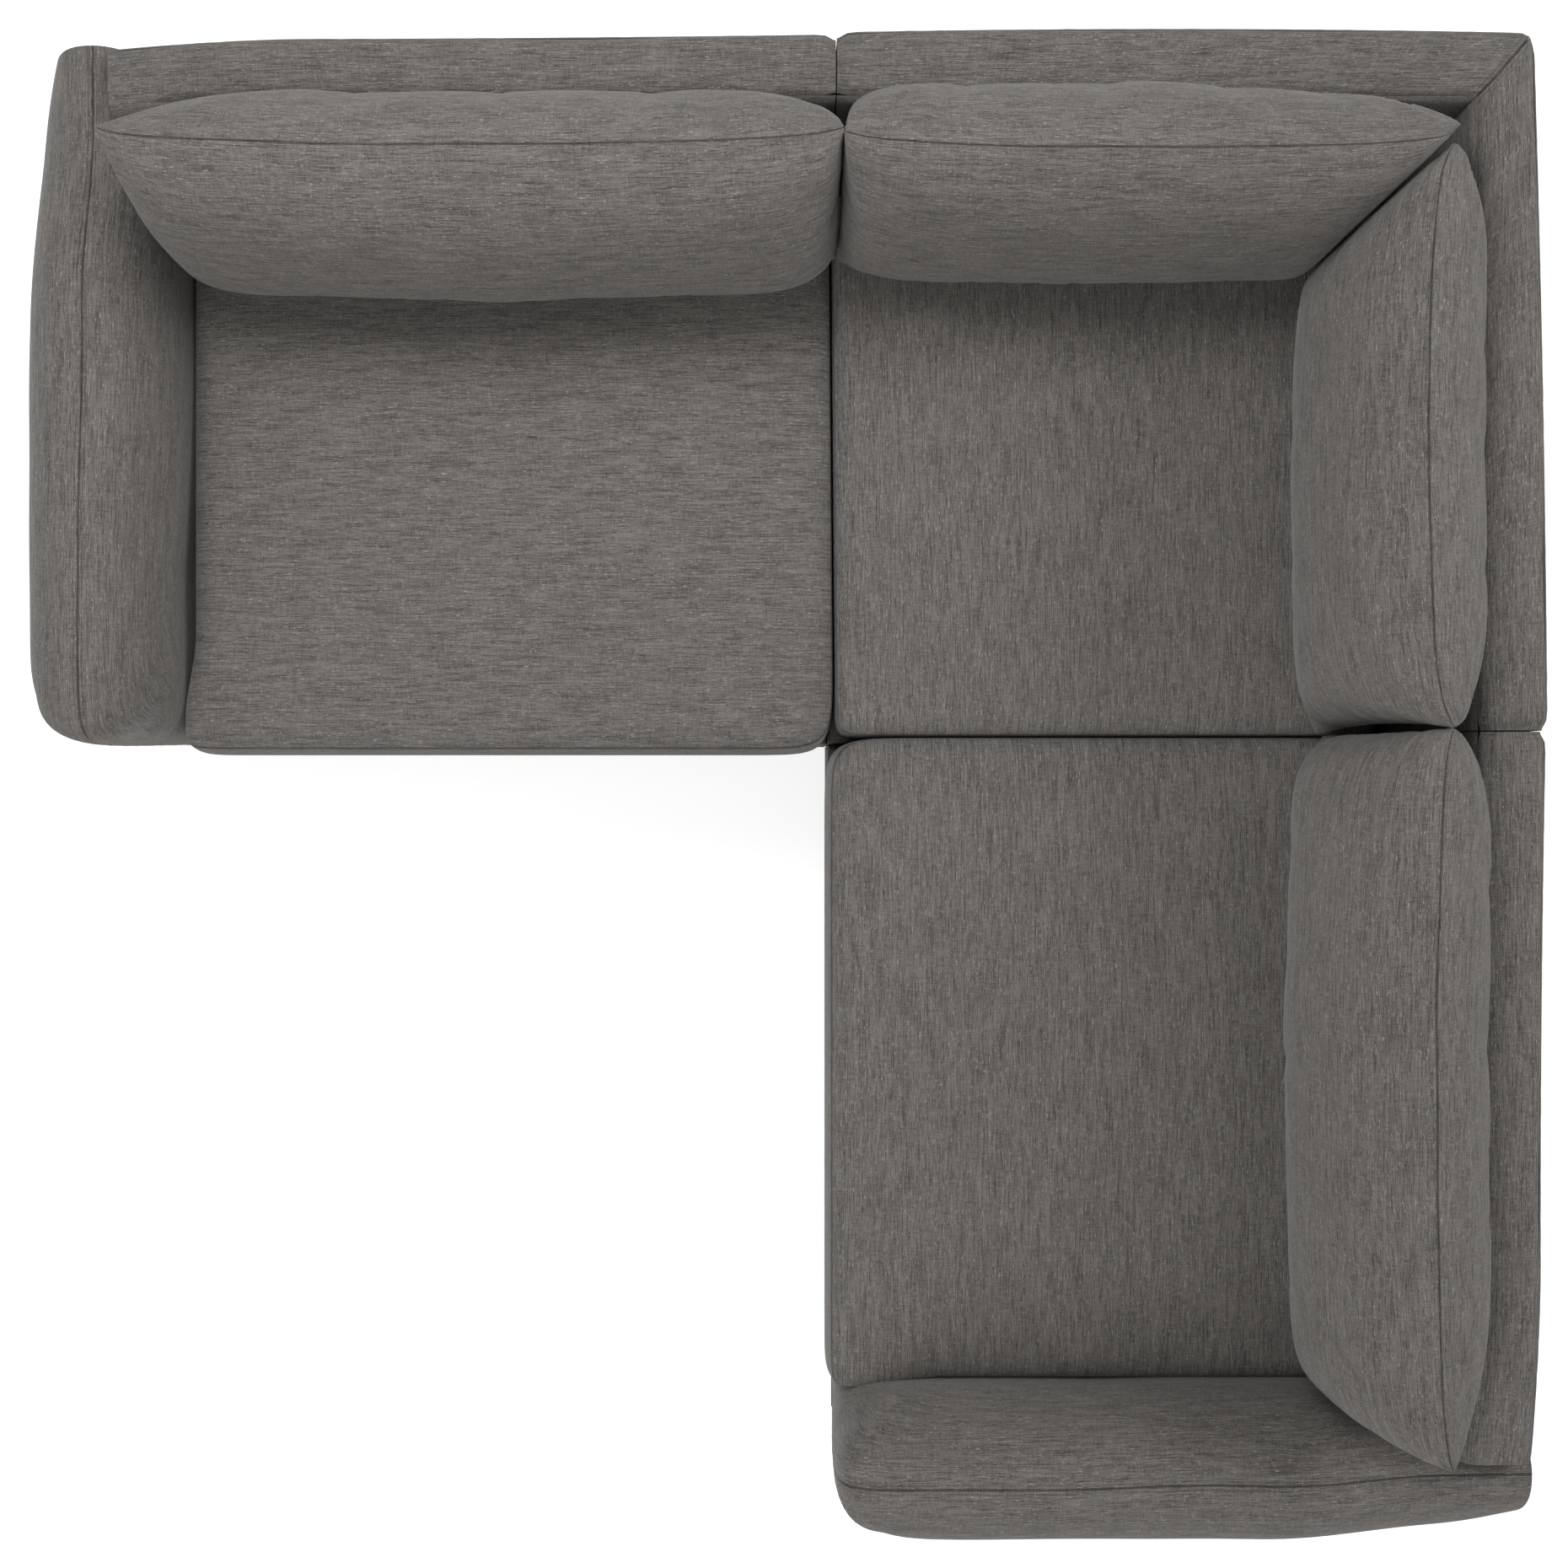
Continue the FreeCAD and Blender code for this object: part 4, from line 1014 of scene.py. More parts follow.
    def fill_pressed_beyond(self) -> float | None:
        """The pad's contact plane, which lies inside the cover's."""
        if self.pressed_beyond is None:
            return None
        return self.pressed_beyond + (-0.03 if self.hand is Hand.LEFT else -0.04)


# Seat cushions


@dataclass
class SeatCushion(SoftPiece):
    """A crowned box cushion: top panel, bulging border and flat underside.

    Args:
        low: X and Y of its front left corner.
        high: X and Y of its rear right corner.
        flare: How far the front of the left side spreads past the arm's nose.
        skew: How far the front ends of the left and the right side stand to the right.
        bulges: How far the front, right, rear and left border stand out.
        along_x: Whether the yarn streaks run along X in the drawn hand.
        crown: Height of the crown over the edge of the top.
        bottom_z: Height of its underside.
        top_z: Height of the top beside its edge.
        seam_drop: How far the top seam lies below that.
        edge_round: Radius of the top's edge.
        corner_power: Powers of the left and the right corners; more is sharper.
        step: Length of a grid step.
    """

    low: Pair
    high: Pair
    flare: float = 0.0
    skew: Pair = (0.0, 0.0)
    bulges: tuple[float, float, float, float] = (0.009, 0.001, 0.001, 0.0015)
    along_x: bool = True
    crown: float = 0.012
    bottom_z: float = 0.2840
    top_z: float = 0.4520
    seam_drop: float = 0.026
    edge_round: float = 0.046
    corner_power: Pair = (48.0, 18.0)
    step: float = 0.0125

    def plan(self) -> tuple[Array, Array, Array, Array]:
        """Grid of places in plan, with corners drawn in as on a superellipse.

        Returns:
            X, Y and the distances from the left and the front sides as plain grid values.
        """
        width = self.high[0] - self.low[0]
        depth = self.high[1] - self.low[1]
        fine = (0.0015, 0.0045, 0.009, 0.015, 0.023, 0.033)
        a = spaced(width, self.step, fine)
        b = spaced(depth, self.step, fine)
        u = 2.0 * a[None, :] / width - 1.0
        v = 2.0 * b[:, None] / depth - 1.0
        n = self.corner_power[0] + (self.corner_power[1] - self.corner_power[0]) * (u + 1.0) / 2.0
        largest = np.maximum(np.abs(u), np.abs(v))
        norm = (np.abs(u) ** n + np.abs(v) ** n) ** (1.0 / n)
        k = np.where(norm > 1e-9, largest / np.maximum(norm, 1e-9), 1.0)
        x = (self.low[0] + self.high[0]) / 2.0 + u * k * width / 2.0
        y = (self.low[1] + self.high[1]) / 2.0 + v * k * depth / 2.0
        return x, y, np.broadcast_to(a[None, :], x.shape), np.broadcast_to(b[:, None], x.shape)

    def shifted(self, x: Array, y: Array) -> Array:
        """X after the front's left corner has spread and the sides have been skewed."""
        near = 1.0 - smooth(y - self.low[1], 0.045, 0.165)
        fade = bell(x - self.low[0], 0.05)
        forward = np.clip((self.high[1] - y) / (self.high[1] - self.low[1]), 0.0, 1.0)
        left = self.skew[0] * forward * (1.0 - smooth(x - self.low[0], 0.0, 0.3))
        right = self.skew[1] * forward * (1.0 - smooth(self.high[0] - x, 0.0, 0.3))
        return x - self.flare * near * fade + left + right

    def inset(self, a: Array, b: Array) -> Array:
        """Smallest distance to a side, rounded over near the corners."""
        power = 5.0
        sides = (a, a.max() - a, b, b.max() - b)
        total = sum(np.maximum(side, 1e-5) ** -power for side in sides)
        return total ** (-1.0 / power)

    def cloth_grid(self, x: Array, y: Array) -> Array:
        """Cloth coordinates of a level panel, streaks along X or along Y."""
        offset = self.seed * 0.913
        first, second = (x, y) if self.along_x else (y, x)
        return np.stack([first + offset, second + offset], axis=2)

    def top(self) -> Patch:
        """The top panel: a quarter round at its edge and a low crown over the whole."""
        x, y, a, b = self.plan()
        d = self.inset(a, b)
        t = np.minimum(d / self.edge_round, 1.0)
        roll = self.seam_drop * (1.0 - (1.0 - t) ** 2.2) ** 0.55
        rest = smooth(b, b.max() - 0.26, b.max() - 0.16)
        rise = self.crown * (1.0 - np.exp(-d / 0.14)) * (1.0 - 0.8 * rest)
        soft = 0.0018 * (waves(x, self.seed, (0.31, 0.52)) + waves(y, self.seed + 3, (0.27, 0.61)))
        z = self.top_z - self.seam_drop + roll + rise + soft * np.minimum(d / 0.05, 1.0)
        distance = np.minimum(np.minimum(a, a.max() - a), np.minimum(b, b.max() - b))
        lift = puckers(a + b, d, self.seed + 5, 0.0012, 0.035) + seam_rise(d, 0.0012)
        patch = Patch(np.stack([self.shifted(x, y), y, z], axis=2), self.cloth_grid(x, y), distance)
        return patch.pushed(lift, np.array([0.0, 0.0, 1.0]))

    def border(self, upper: Array, lower: Array) -> Patch:
        """The band from the top panel's edge to the underside's, bulging between its seams.

        Args:
            upper: Closed loop of points on the top seam.
            lower: Matching loop on the lower seam.

        Returns:
            The band as a patch of rows from the top seam down.
        """
        s = run_of(upper[:, :2])
        tangent = np.gradient(upper[:, :2], axis=0)
        tangent[0] = tangent[-1] = upper[1, :2] - upper[-2, :2]
        outward = np.stack([tangent[:, 1], -tangent[:, 0]], axis=1)
        outward /= np.maximum(np.linalg.norm(outward, axis=1, keepdims=True), 1e-9)
        height = float(upper[0, 2] - lower[0, 2])
        t = spaced(height, 0.012)
        share = t / t[-1]
        bulge = np.sin(math.pi * share) ** 0.7
        front, right, rear, left = self.bulges
        to_x, to_y = outward[:, 0], outward[:, 1]
        weight = [np.clip(side, 0.0, 1.0) ** 2 for side in (-to_y, to_x, to_y, -to_x)]
        out = front * weight[0] + right * weight[1] + rear * weight[2] + left * weight[3]
        points = upper[None] * (1.0 - share)[:, None, None] + lower[None] * share[:, None, None]
        moved = points.copy()
        moved[..., :2] += bulge[:, None, None] * (outward * out[:, None])[None]
        distance = np.broadcast_to(np.minimum(t, t[-1] - t)[:, None], moved.shape[:2])
        ripple = puckers(s[None, :], distance, self.seed + 9, 0.0014)
        ripple = ripple * np.minimum(out / 0.006, 1.0)[None, :]
        moved[..., :2] += ripple[..., None] * outward[None]
        return Patch(moved, paired(s, -t) + self.seed, distance)

    def patches(self) -> list[Patch]:
        """The top, the border and the underside."""
        top = self.top()
        under = top.points.copy()
        under[..., 2] = self.bottom_z
        band = self.border(border_loop(top.points), border_loop(under))
        return [top, band, Patch(under, top.cloth, top.seam)]


def border_loop(points: Array) -> Array:
    """The border of a grid as one closed loop, anticlockwise in plan, first point repeated."""
    front = points[0, :, :]
    right = points[1:, -1, :]
    rear = points[-1, -2::-1, :]
    left = points[-2::-1, 0, :]
    return np.concatenate([front, right, rear, left])


# Pads inside the covers, seat decks and base borders


@dataclass
class RoundedPad(SoftPiece):
    """A soft block with rounded edges: a foam core, or the deck under a seat cushion.

    Args:
        low: Lowest corner of its box.
        high: Highest corner of its box.
        edge: Radius of its upper edges.
        crown: Height of its crown.
        step: Length of a grid step.
    """

    low: Triple
    high: Triple
    edge: float
    crown: float
    step: float = 0.02

    def sheet(self, top: bool) -> Patch:
        """The upper or the lower half, rolled over the sides down to half height."""
        width, depth = self.high[0] - self.low[0], self.high[1] - self.low[1]
        fine = (0.0006, 0.002, 0.005, 0.010, 0.017)
        a = spaced(width, self.step, fine)[None, :]
        b = spaced(depth, self.step, fine)[:, None]
        a, b = np.broadcast_arrays(a, b)
        inset = np.minimum(np.minimum(a, width - a), np.minimum(b, depth - b))
        middle = self.low[2] + (self.high[2] - self.low[2]) * 0.45
        roll = (1.0 - np.clip(1.0 - inset / self.edge, 0.0, 1.0) ** 2.4) ** 0.42
        end = self.high[2] - self.crown if top else self.low[2]
        z = middle + (end - middle) * roll
        if top:
            z = z + self.crown * (1.0 - np.exp(-inset / 0.12))
            z = z + 0.0006 * waves(a + 0.7 * b, self.seed, (0.17, 0.29)) * smooth(inset, 0.0, 0.05)
        points = np.stack([self.low[0] + a, self.low[1] + b, z], axis=2)
        cloth = np.stack([a + self.seed, b + self.seed], axis=2)
        return Patch(points, cloth, np.full(a.shape, 1.0))

    def patches(self) -> list[Patch]:
        """The upper and the lower half."""
        return [self.sheet(True), self.sheet(False)]


@dataclass
class Border(SoftPiece):
    """A padded strip that is pulled round a base rail: a thin upright pad.

    Args:
        runs: Boxes of its strips, each with its low and its high corner.
        puff: How far its faces stand out.
    """

    runs: list[tuple[Triple, Triple]]
    puff: float = 0.0012

    def strip(self, low: Triple, high: Triple) -> list[Patch]:
        """The outline of a strip's section, swept along it, with its ends closed."""
        low_at, high_at = np.array(low), np.array(high)
        size = high_at - low_at
        run_axis = 0 if size[0] > size[1] else 1
        thin_axis = 1 - run_axis
        corner = min(0.0045, size[thin_axis] * 0.45)
        turn = np.linspace(0.0, QUARTER_TURN, 6)
        spots = []
        near, far, top = corner, size[thin_axis] - corner, size[2] - corner
        centres = ((far, top), (near, top), (near, near), (far, near))
        for quarter, (across, up) in enumerate(centres):
            angle = turn + quarter * QUARTER_TURN
            arc = [across + corner * np.cos(angle), up + corner * np.sin(angle)]
            spots.append(np.stack(arc, axis=1))
        outline = np.concatenate([*spots, spots[0][:1]])
        s = spaced(float(size[run_axis]), 0.03, (0.003,))
        rows = np.repeat(outline[:, None, :], len(s), axis=1)
        points = np.zeros((len(outline), len(s), 3))
        points[..., run_axis] = low_at[run_axis] + s[None, :]
        points[..., thin_axis] = low_at[thin_axis] + rows[..., 0]
        points[..., 2] = low_at[2] + rows[..., 1]
        ripple = self.puff * 0.5 * waves(s, self.seed, (0.13, 0.21, 0.37))[None, :]
        belly = np.sin(math.pi * np.clip(rows[..., 1] / size[2], 0.0, 1.0))
        points[..., thin_axis] += ripple * belly
        girth = run_of(outline)
        cloth = paired(s + self.seed, girth)
        tube = Patch(points, cloth, np.full(points.shape[:2], 1.0))
        patches = [tube]
        for column in (0, -1):
            ring = points[:-1, column]
            half = len(ring) // 2
            patches.append(bridge(ring[:half], ring[::-1][:half], self.seed, 3))
        return patches

    def patches(self) -> list[Patch]:
        """The surfaces of all its strips."""
        return [patch for low, high in self.runs for patch in self.strip(low, high)]


@dataclass
class DustCover(SoftPiece):
    """Thin cloth stapled under a unit's frame, cut out round its feet and connectors.

    Args:
        low: X and Y of its lowest corner.
        high: X and Y of its highest corner.
        cuts: Boxes in plan that are cut out, each X low, X high, Y low and Y high.
        top_z: Height of its upper side at the rails.
        thickness: Thickness of the cloth.
        sag: How far it hangs down at most.
        step: Length of a grid step.
    """

    low: Pair
    high: Pair
    cuts: list[tuple[float, float, float, float]]
    top_z: float = 0.0449
    thickness: float = 0.0006
    sag: float = 0.0022
    step: float = 0.024

    def lines(self, axis: int) -> Array:
        """Grid lines along an axis: even steps, with one on each side of every cut-out."""
        count = int(round((self.high[axis] - self.low[axis]) / self.step))
        even = np.linspace(self.low[axis], self.high[axis], count + 1)
        edges = np.array([cut[2 * axis + end] for cut in self.cuts for end in (0, 1)])
        edges = edges[(edges > self.low[axis]) & (edges < self.high[axis])]
        clear = np.abs(even[:, None] - edges[None, :]).min(axis=1) > 0.006
        clear[[0, -1]] = True
        return np.unique(np.concatenate([even[clear], edges]))

    def area(self) -> float:
        """Area of the cloth that is left after the cut-outs, in square metres."""
        xs, ys = self.lines(0), self.lines(1)
        keep = self.kept(xs, ys)
        return float(np.sum(np.outer(np.diff(ys), np.diff(xs)) * keep))

    def kept(self, xs: Array, ys: Array) -> Array:
        """Which cells of the grid are cloth."""
        mx, my = np.meshgrid((xs[:-1] + xs[1:]) / 2.0, (ys[:-1] + ys[1:]) / 2.0)
        keep = np.ones(mx.shape, bool)
        for x0, x1, y0, y1 in self.cuts:
            keep &= ~((mx > x0) & (mx < x1) & (my > y0) & (my < y1))
        return keep

    def build(self) -> Piece:
        """Makes the cloth: kept cells on both sides, and strips round every free edge."""
        xs, ys = self.lines(0), self.lines(1)
        keep = self.kept(xs, ys)
        gx, gy = np.meshgrid(xs, ys)
        u = (gx - self.low[0]) / (self.high[0] - self.low[0])
        v = (gy - self.low[1]) / (self.high[1] - self.low[1])
        droop = self.sag * np.abs(np.sin(FULL_TURN * u) * np.sin(math.pi * v)) ** 0.8
        droop = droop + 0.0004 * (1.0 + waves(gx + 0.4 * gy, self.seed, (0.06, 0.11)))
        top = np.stack([gx, gy, self.top_z - droop], axis=2)
        low = top - np.array([0.0, 0.0, self.thickness])
        index = np.arange(gx.size).reshape(gx.shape)
        r, c = np.nonzero(keep)
        corners = [index[r, c], index[r, c + 1], index[r + 1, c + 1], index[r + 1, c]]
        upper = np.stack(corners, axis=1)
        lower = upper[:, ::-1] + gx.size
        faces = [upper, lower]
        framed = np.pad(keep, 1)
        sides = (((-1, 0), (0, 0), (0, 1)), ((1, 0), (1, 1), (1, 0)),
                 ((0, -1), (1, 0), (0, 0)), ((0, 1), (0, 1), (1, 1)))
        for (dr, dc), first, second in sides:
            beside = framed[1 + dr:1 + dr + keep.shape[0], 1 + dc:1 + dc + keep.shape[1]]
            r, c = np.nonzero(keep & ~beside)
            a = index[r + first[0], c + first[1]]
            b = index[r + second[0], c + second[1]]
            faces.append(np.stack([b, a, a + gx.size, b + gx.size], axis=1))
        co = in_hand(np.concatenate([top.reshape(-1, 3), low.reshape(-1, 3)]), self.hand)
        mesh = bpy.data.meshes.new(self.name)
        mesh.from_pydata(co.tolist(), [], np.concatenate(faces).tolist())
        work = bmesh.new()
        work.from_mesh(mesh)
        loose = [vert for vert in work.verts if not vert.link_faces]
        bmesh.ops.delete(work, geom=loose, context="VERTS")
        bmesh.ops.recalc_face_normals(work, faces=work.faces)
        work.to_mesh(mesh)
        work.free()
        return linked(self.name, mesh)


# Padded arms


@dataclass(frozen=True)
class SideForm:
    """How an arm's side panel swells with the distance d from its seam.

    Its depth is its full depth times (1 - (1 - d/R)^p)^q.

    Args:
        reach: R, where it has its full depth, in metres.
        p: Exponent p.
        q: Exponent q.
        rear_draw: Share by which it is drawn in at the arm's rear end.
        rear_thin: Share by which it gets thinner towards the rear.
        rear_reach: Share by which R grows towards the rear.
    """

    reach: float
    p: float
    q: float
    rear_draw: float
    rear_thin: float
    rear_reach: float

    def share(self, d: Array, reach: Array) -> Array:
        """Share of the full depth at distances from the seam, for a reach."""
        return (1.0 - (1.0 - np.minimum(d / reach, 1.0)) ** self.p) ** self.q


# Distance down the arm's nose that counts as much as 1 from its top, and the power of the
# mean that joins the two distances
NOSE = 0.82
SEAM_POWER = 3.2

OUTER_SIDE = SideForm(0.170, 1.8, 0.42, 0.16, 0.14, 0.3)
INNER_SIDE = SideForm(0.170, 2.3, 0.50, 0.04, 0.0, 0.0)


@dataclass
class Arm(SoftPiece):
    """A pillow-like arm of two side panels with a seam along its top and down its nose.

    Args:
        recess: How far the front half of its inner face stands back from the seat.
        front_y: Y of its nose.
        rear_y: Y of its rear.
        bottom_z: Height of its underside.
        top_z: Height of its top seam.
        seam_x: X of its top seam at the nose.
        outer_x: X of its outer face.
        inner_x: X of its inner face.
        corner_power: Power of the nose's outline from the side; more is sharper.
        corner_reach: Reach of that corner.
        step: Length of a grid step.
    """

    recess: float = 0.002
    front_y: float = 0.0955
    rear_y: float = 1.0445
    bottom_z: float = 0.0455
    top_z: float = 0.636
    seam_x: float = -0.9258
    outer_x: float = -1.0395
    inner_x: float = -0.8305
    corner_power: float = 9.0
    corner_reach: float = 0.25
    step: float = 0.013

    def even(self, total: float, width: float, form: SideForm, nose: float) -> Array:
        """Distances from the seam that lie evenly along the panel's own section."""
        d = np.concatenate([np.linspace(0.0, 1.0, 400) ** 4 * form.reach, [total / nose]])
        curve = np.stack([d * nose, form.share(d, form.reach) * width], axis=1)
        lines = spaced(total + 0.1, self.step, (0.002, 0.005, 0.009, 0.014, 0.021))
        return along(curve, lines)[:, 0]

    def side(self, outer: bool) -> Patch:
        """One side panel over the grid of distances from the nose and from the top.

        Its form takes the distance d from the seam, (a^-m + b^-m)^(-1/m) of the distances
        a from the nose and b from the top. Low down the nose gets squarer, to meet the
        base's front.

        Args:
            outer: Whether it is the panel away from the seat.

        Returns:
            The panel as a patch, rows from the top down.
        """
        length = self.rear_y - self.front_y
        height = self.top_z - self.bottom_z
        width = (self.outer_x if outer else self.inner_x) - self.seam_x
        form = OUTER_SIDE if outer else INNER_SIDE
        a = self.even(length, abs(width), form, NOSE)[None, :]
        b = self.even(height, abs(width), form, 1.0)[:, None]
        a, b = np.broadcast_arrays(a, b)
        u = np.clip(1.0 - a / self.corner_reach, 0.0, 1.0)
        v = np.clip(1.0 - b / self.corner_reach, 0.0, 1.0)
        n = self.corner_power
        norm = (u ** n + v ** n) ** (1.0 / n)
        k = np.where(norm > 1e-6, np.maximum(u, v) / np.maximum(norm, 1e-6), 1.0)
        from_nose = np.where(u > 0.0, (1.0 - u * k) * self.corner_reach, a)
        from_top = np.where(v > 0.0, (1.0 - v * k) * self.corner_reach, b)
        y = self.front_y + from_nose
        behind = smooth(y, self.rear_y - 0.36, self.rear_y)
        sag = 0.010 * behind + 0.003 * waves(y, self.seed, (0.42, 0.71))
        z = self.top_z - from_top - sag * (1.0 - smooth(b, 0.0, 0.4))
        reach = form.reach * (1.0 + form.rear_reach * behind)
        m = SEAM_POWER
        square = 1.0 + 6.0 * (1.0 - smooth(z, 0.25, 0.50))
        d = (np.maximum(a * square / NOSE, 1e-9) ** -m + np.maximum(b, 1e-9) ** -m) ** (-1.0 / m)
        d = np.where((a <= 0.0) | (b <= 0.0), 0.0, d)
        share = form.share(d, reach)
        rear = 1.0 - form.rear_draw * (1.0 - np.minimum((length - a) / 0.11, 1.0)) ** 2
        y = y + 0.0085 * (1.0 - smooth(z, 0.05, 0.5)) * (1.0 - smooth(a, 0.0, 0.1))
        full = 1.0 - form.rear_thin * behind
        seam_shift = 0.005 * smooth(y, 0.35, 0.65) + 0.0125 * smooth(y, 0.70, 0.92)
        seam_shift = (seam_shift + 0.0012 * waves(y, self.seed + 8, (0.31, 0.53))) * (1.0 - share)
        x = self.seam_x + seam_shift + width * share * rear * full
        if not outer:
            x = x - self.recess * (1.0 - smooth(y, 0.30, 0.62)) * share
        points = np.stack([x, y, z], axis=2)
        seam = np.hypot(d, share * abs(width))
        side = -1.0 if outer else 1.0
        low = smooth(b, 0.15, 0.40)
        at_nose = b ** 4 / np.maximum(a ** 4 + b ** 4, 1e-12)
        round_nose = at_nose * (np.hypot(a, share * abs(width)) - a)
        down_nose = np.maximum(b - a / NOSE, 0.0)
        across = (1.0 - low) * (seam + np.maximum(b - reach, 0.0)) + low * (b + 0.10)
        length_wise = y + low * round_nose - (1.0 - low) * down_nose
        cloth = np.stack([length_wise + self.seed * 0.37, side * across + self.seed * 1.1], axis=2)
        patch = Patch(points, cloth, seam)
        amount = seam_rise(seam, 0.0022, 0.025)
        amount = amount + puckers(y, np.hypot(b, seam), self.seed + 2, 0.0011)
        amount = amount + puckers(z, np.hypot(a, seam), self.seed + 4, 0.0014, 0.04)
        soft = 0.0022 * waves(y + 0.5 * z, self.seed + 6, (0.23, 0.39, 0.62))
        fade = smooth(length - a, 0.0, 0.05) * smooth(height - b, 0.0, 0.05)
        amount = (amount + soft * smooth(d, 0.02, 0.12)) * fade
        return patch.pushed(amount, np.array([side, 0.0, 0.3]))

    def patches(self) -> list[Patch]:
        """The side panels, the rear and the underside."""
        outer, inner = self.side(True), self.side(False)
        borders = ((slice(None), -1), (-1, slice(None)))
        ends = [bridge(outer.points[at], inner.points[at], self.seed) for at in borders]
        return [outer, inner, *ends]


def bridge(first: Array, second: Array, seed: int, count: int = 10) -> Patch:
    """A ruled patch between two matching rows of points, with streaks across it."""
    share = np.linspace(0.0, 1.0, count)[:, None, None]
    points = first[None] * (1.0 - share) + second[None] * share
    s = run_of(first)
    gap = np.linalg.norm(second - first, axis=1)
    across = share[..., 0] * gap[None, :]
    cloth = np.stack([across + seed, np.broadcast_to(s[None, :], across.shape)], axis=2)
    edge = np.minimum(share[..., 0], 1.0 - share[..., 0]) * gap[None, :]
    return Patch(points, cloth, edge)


# Padded backs


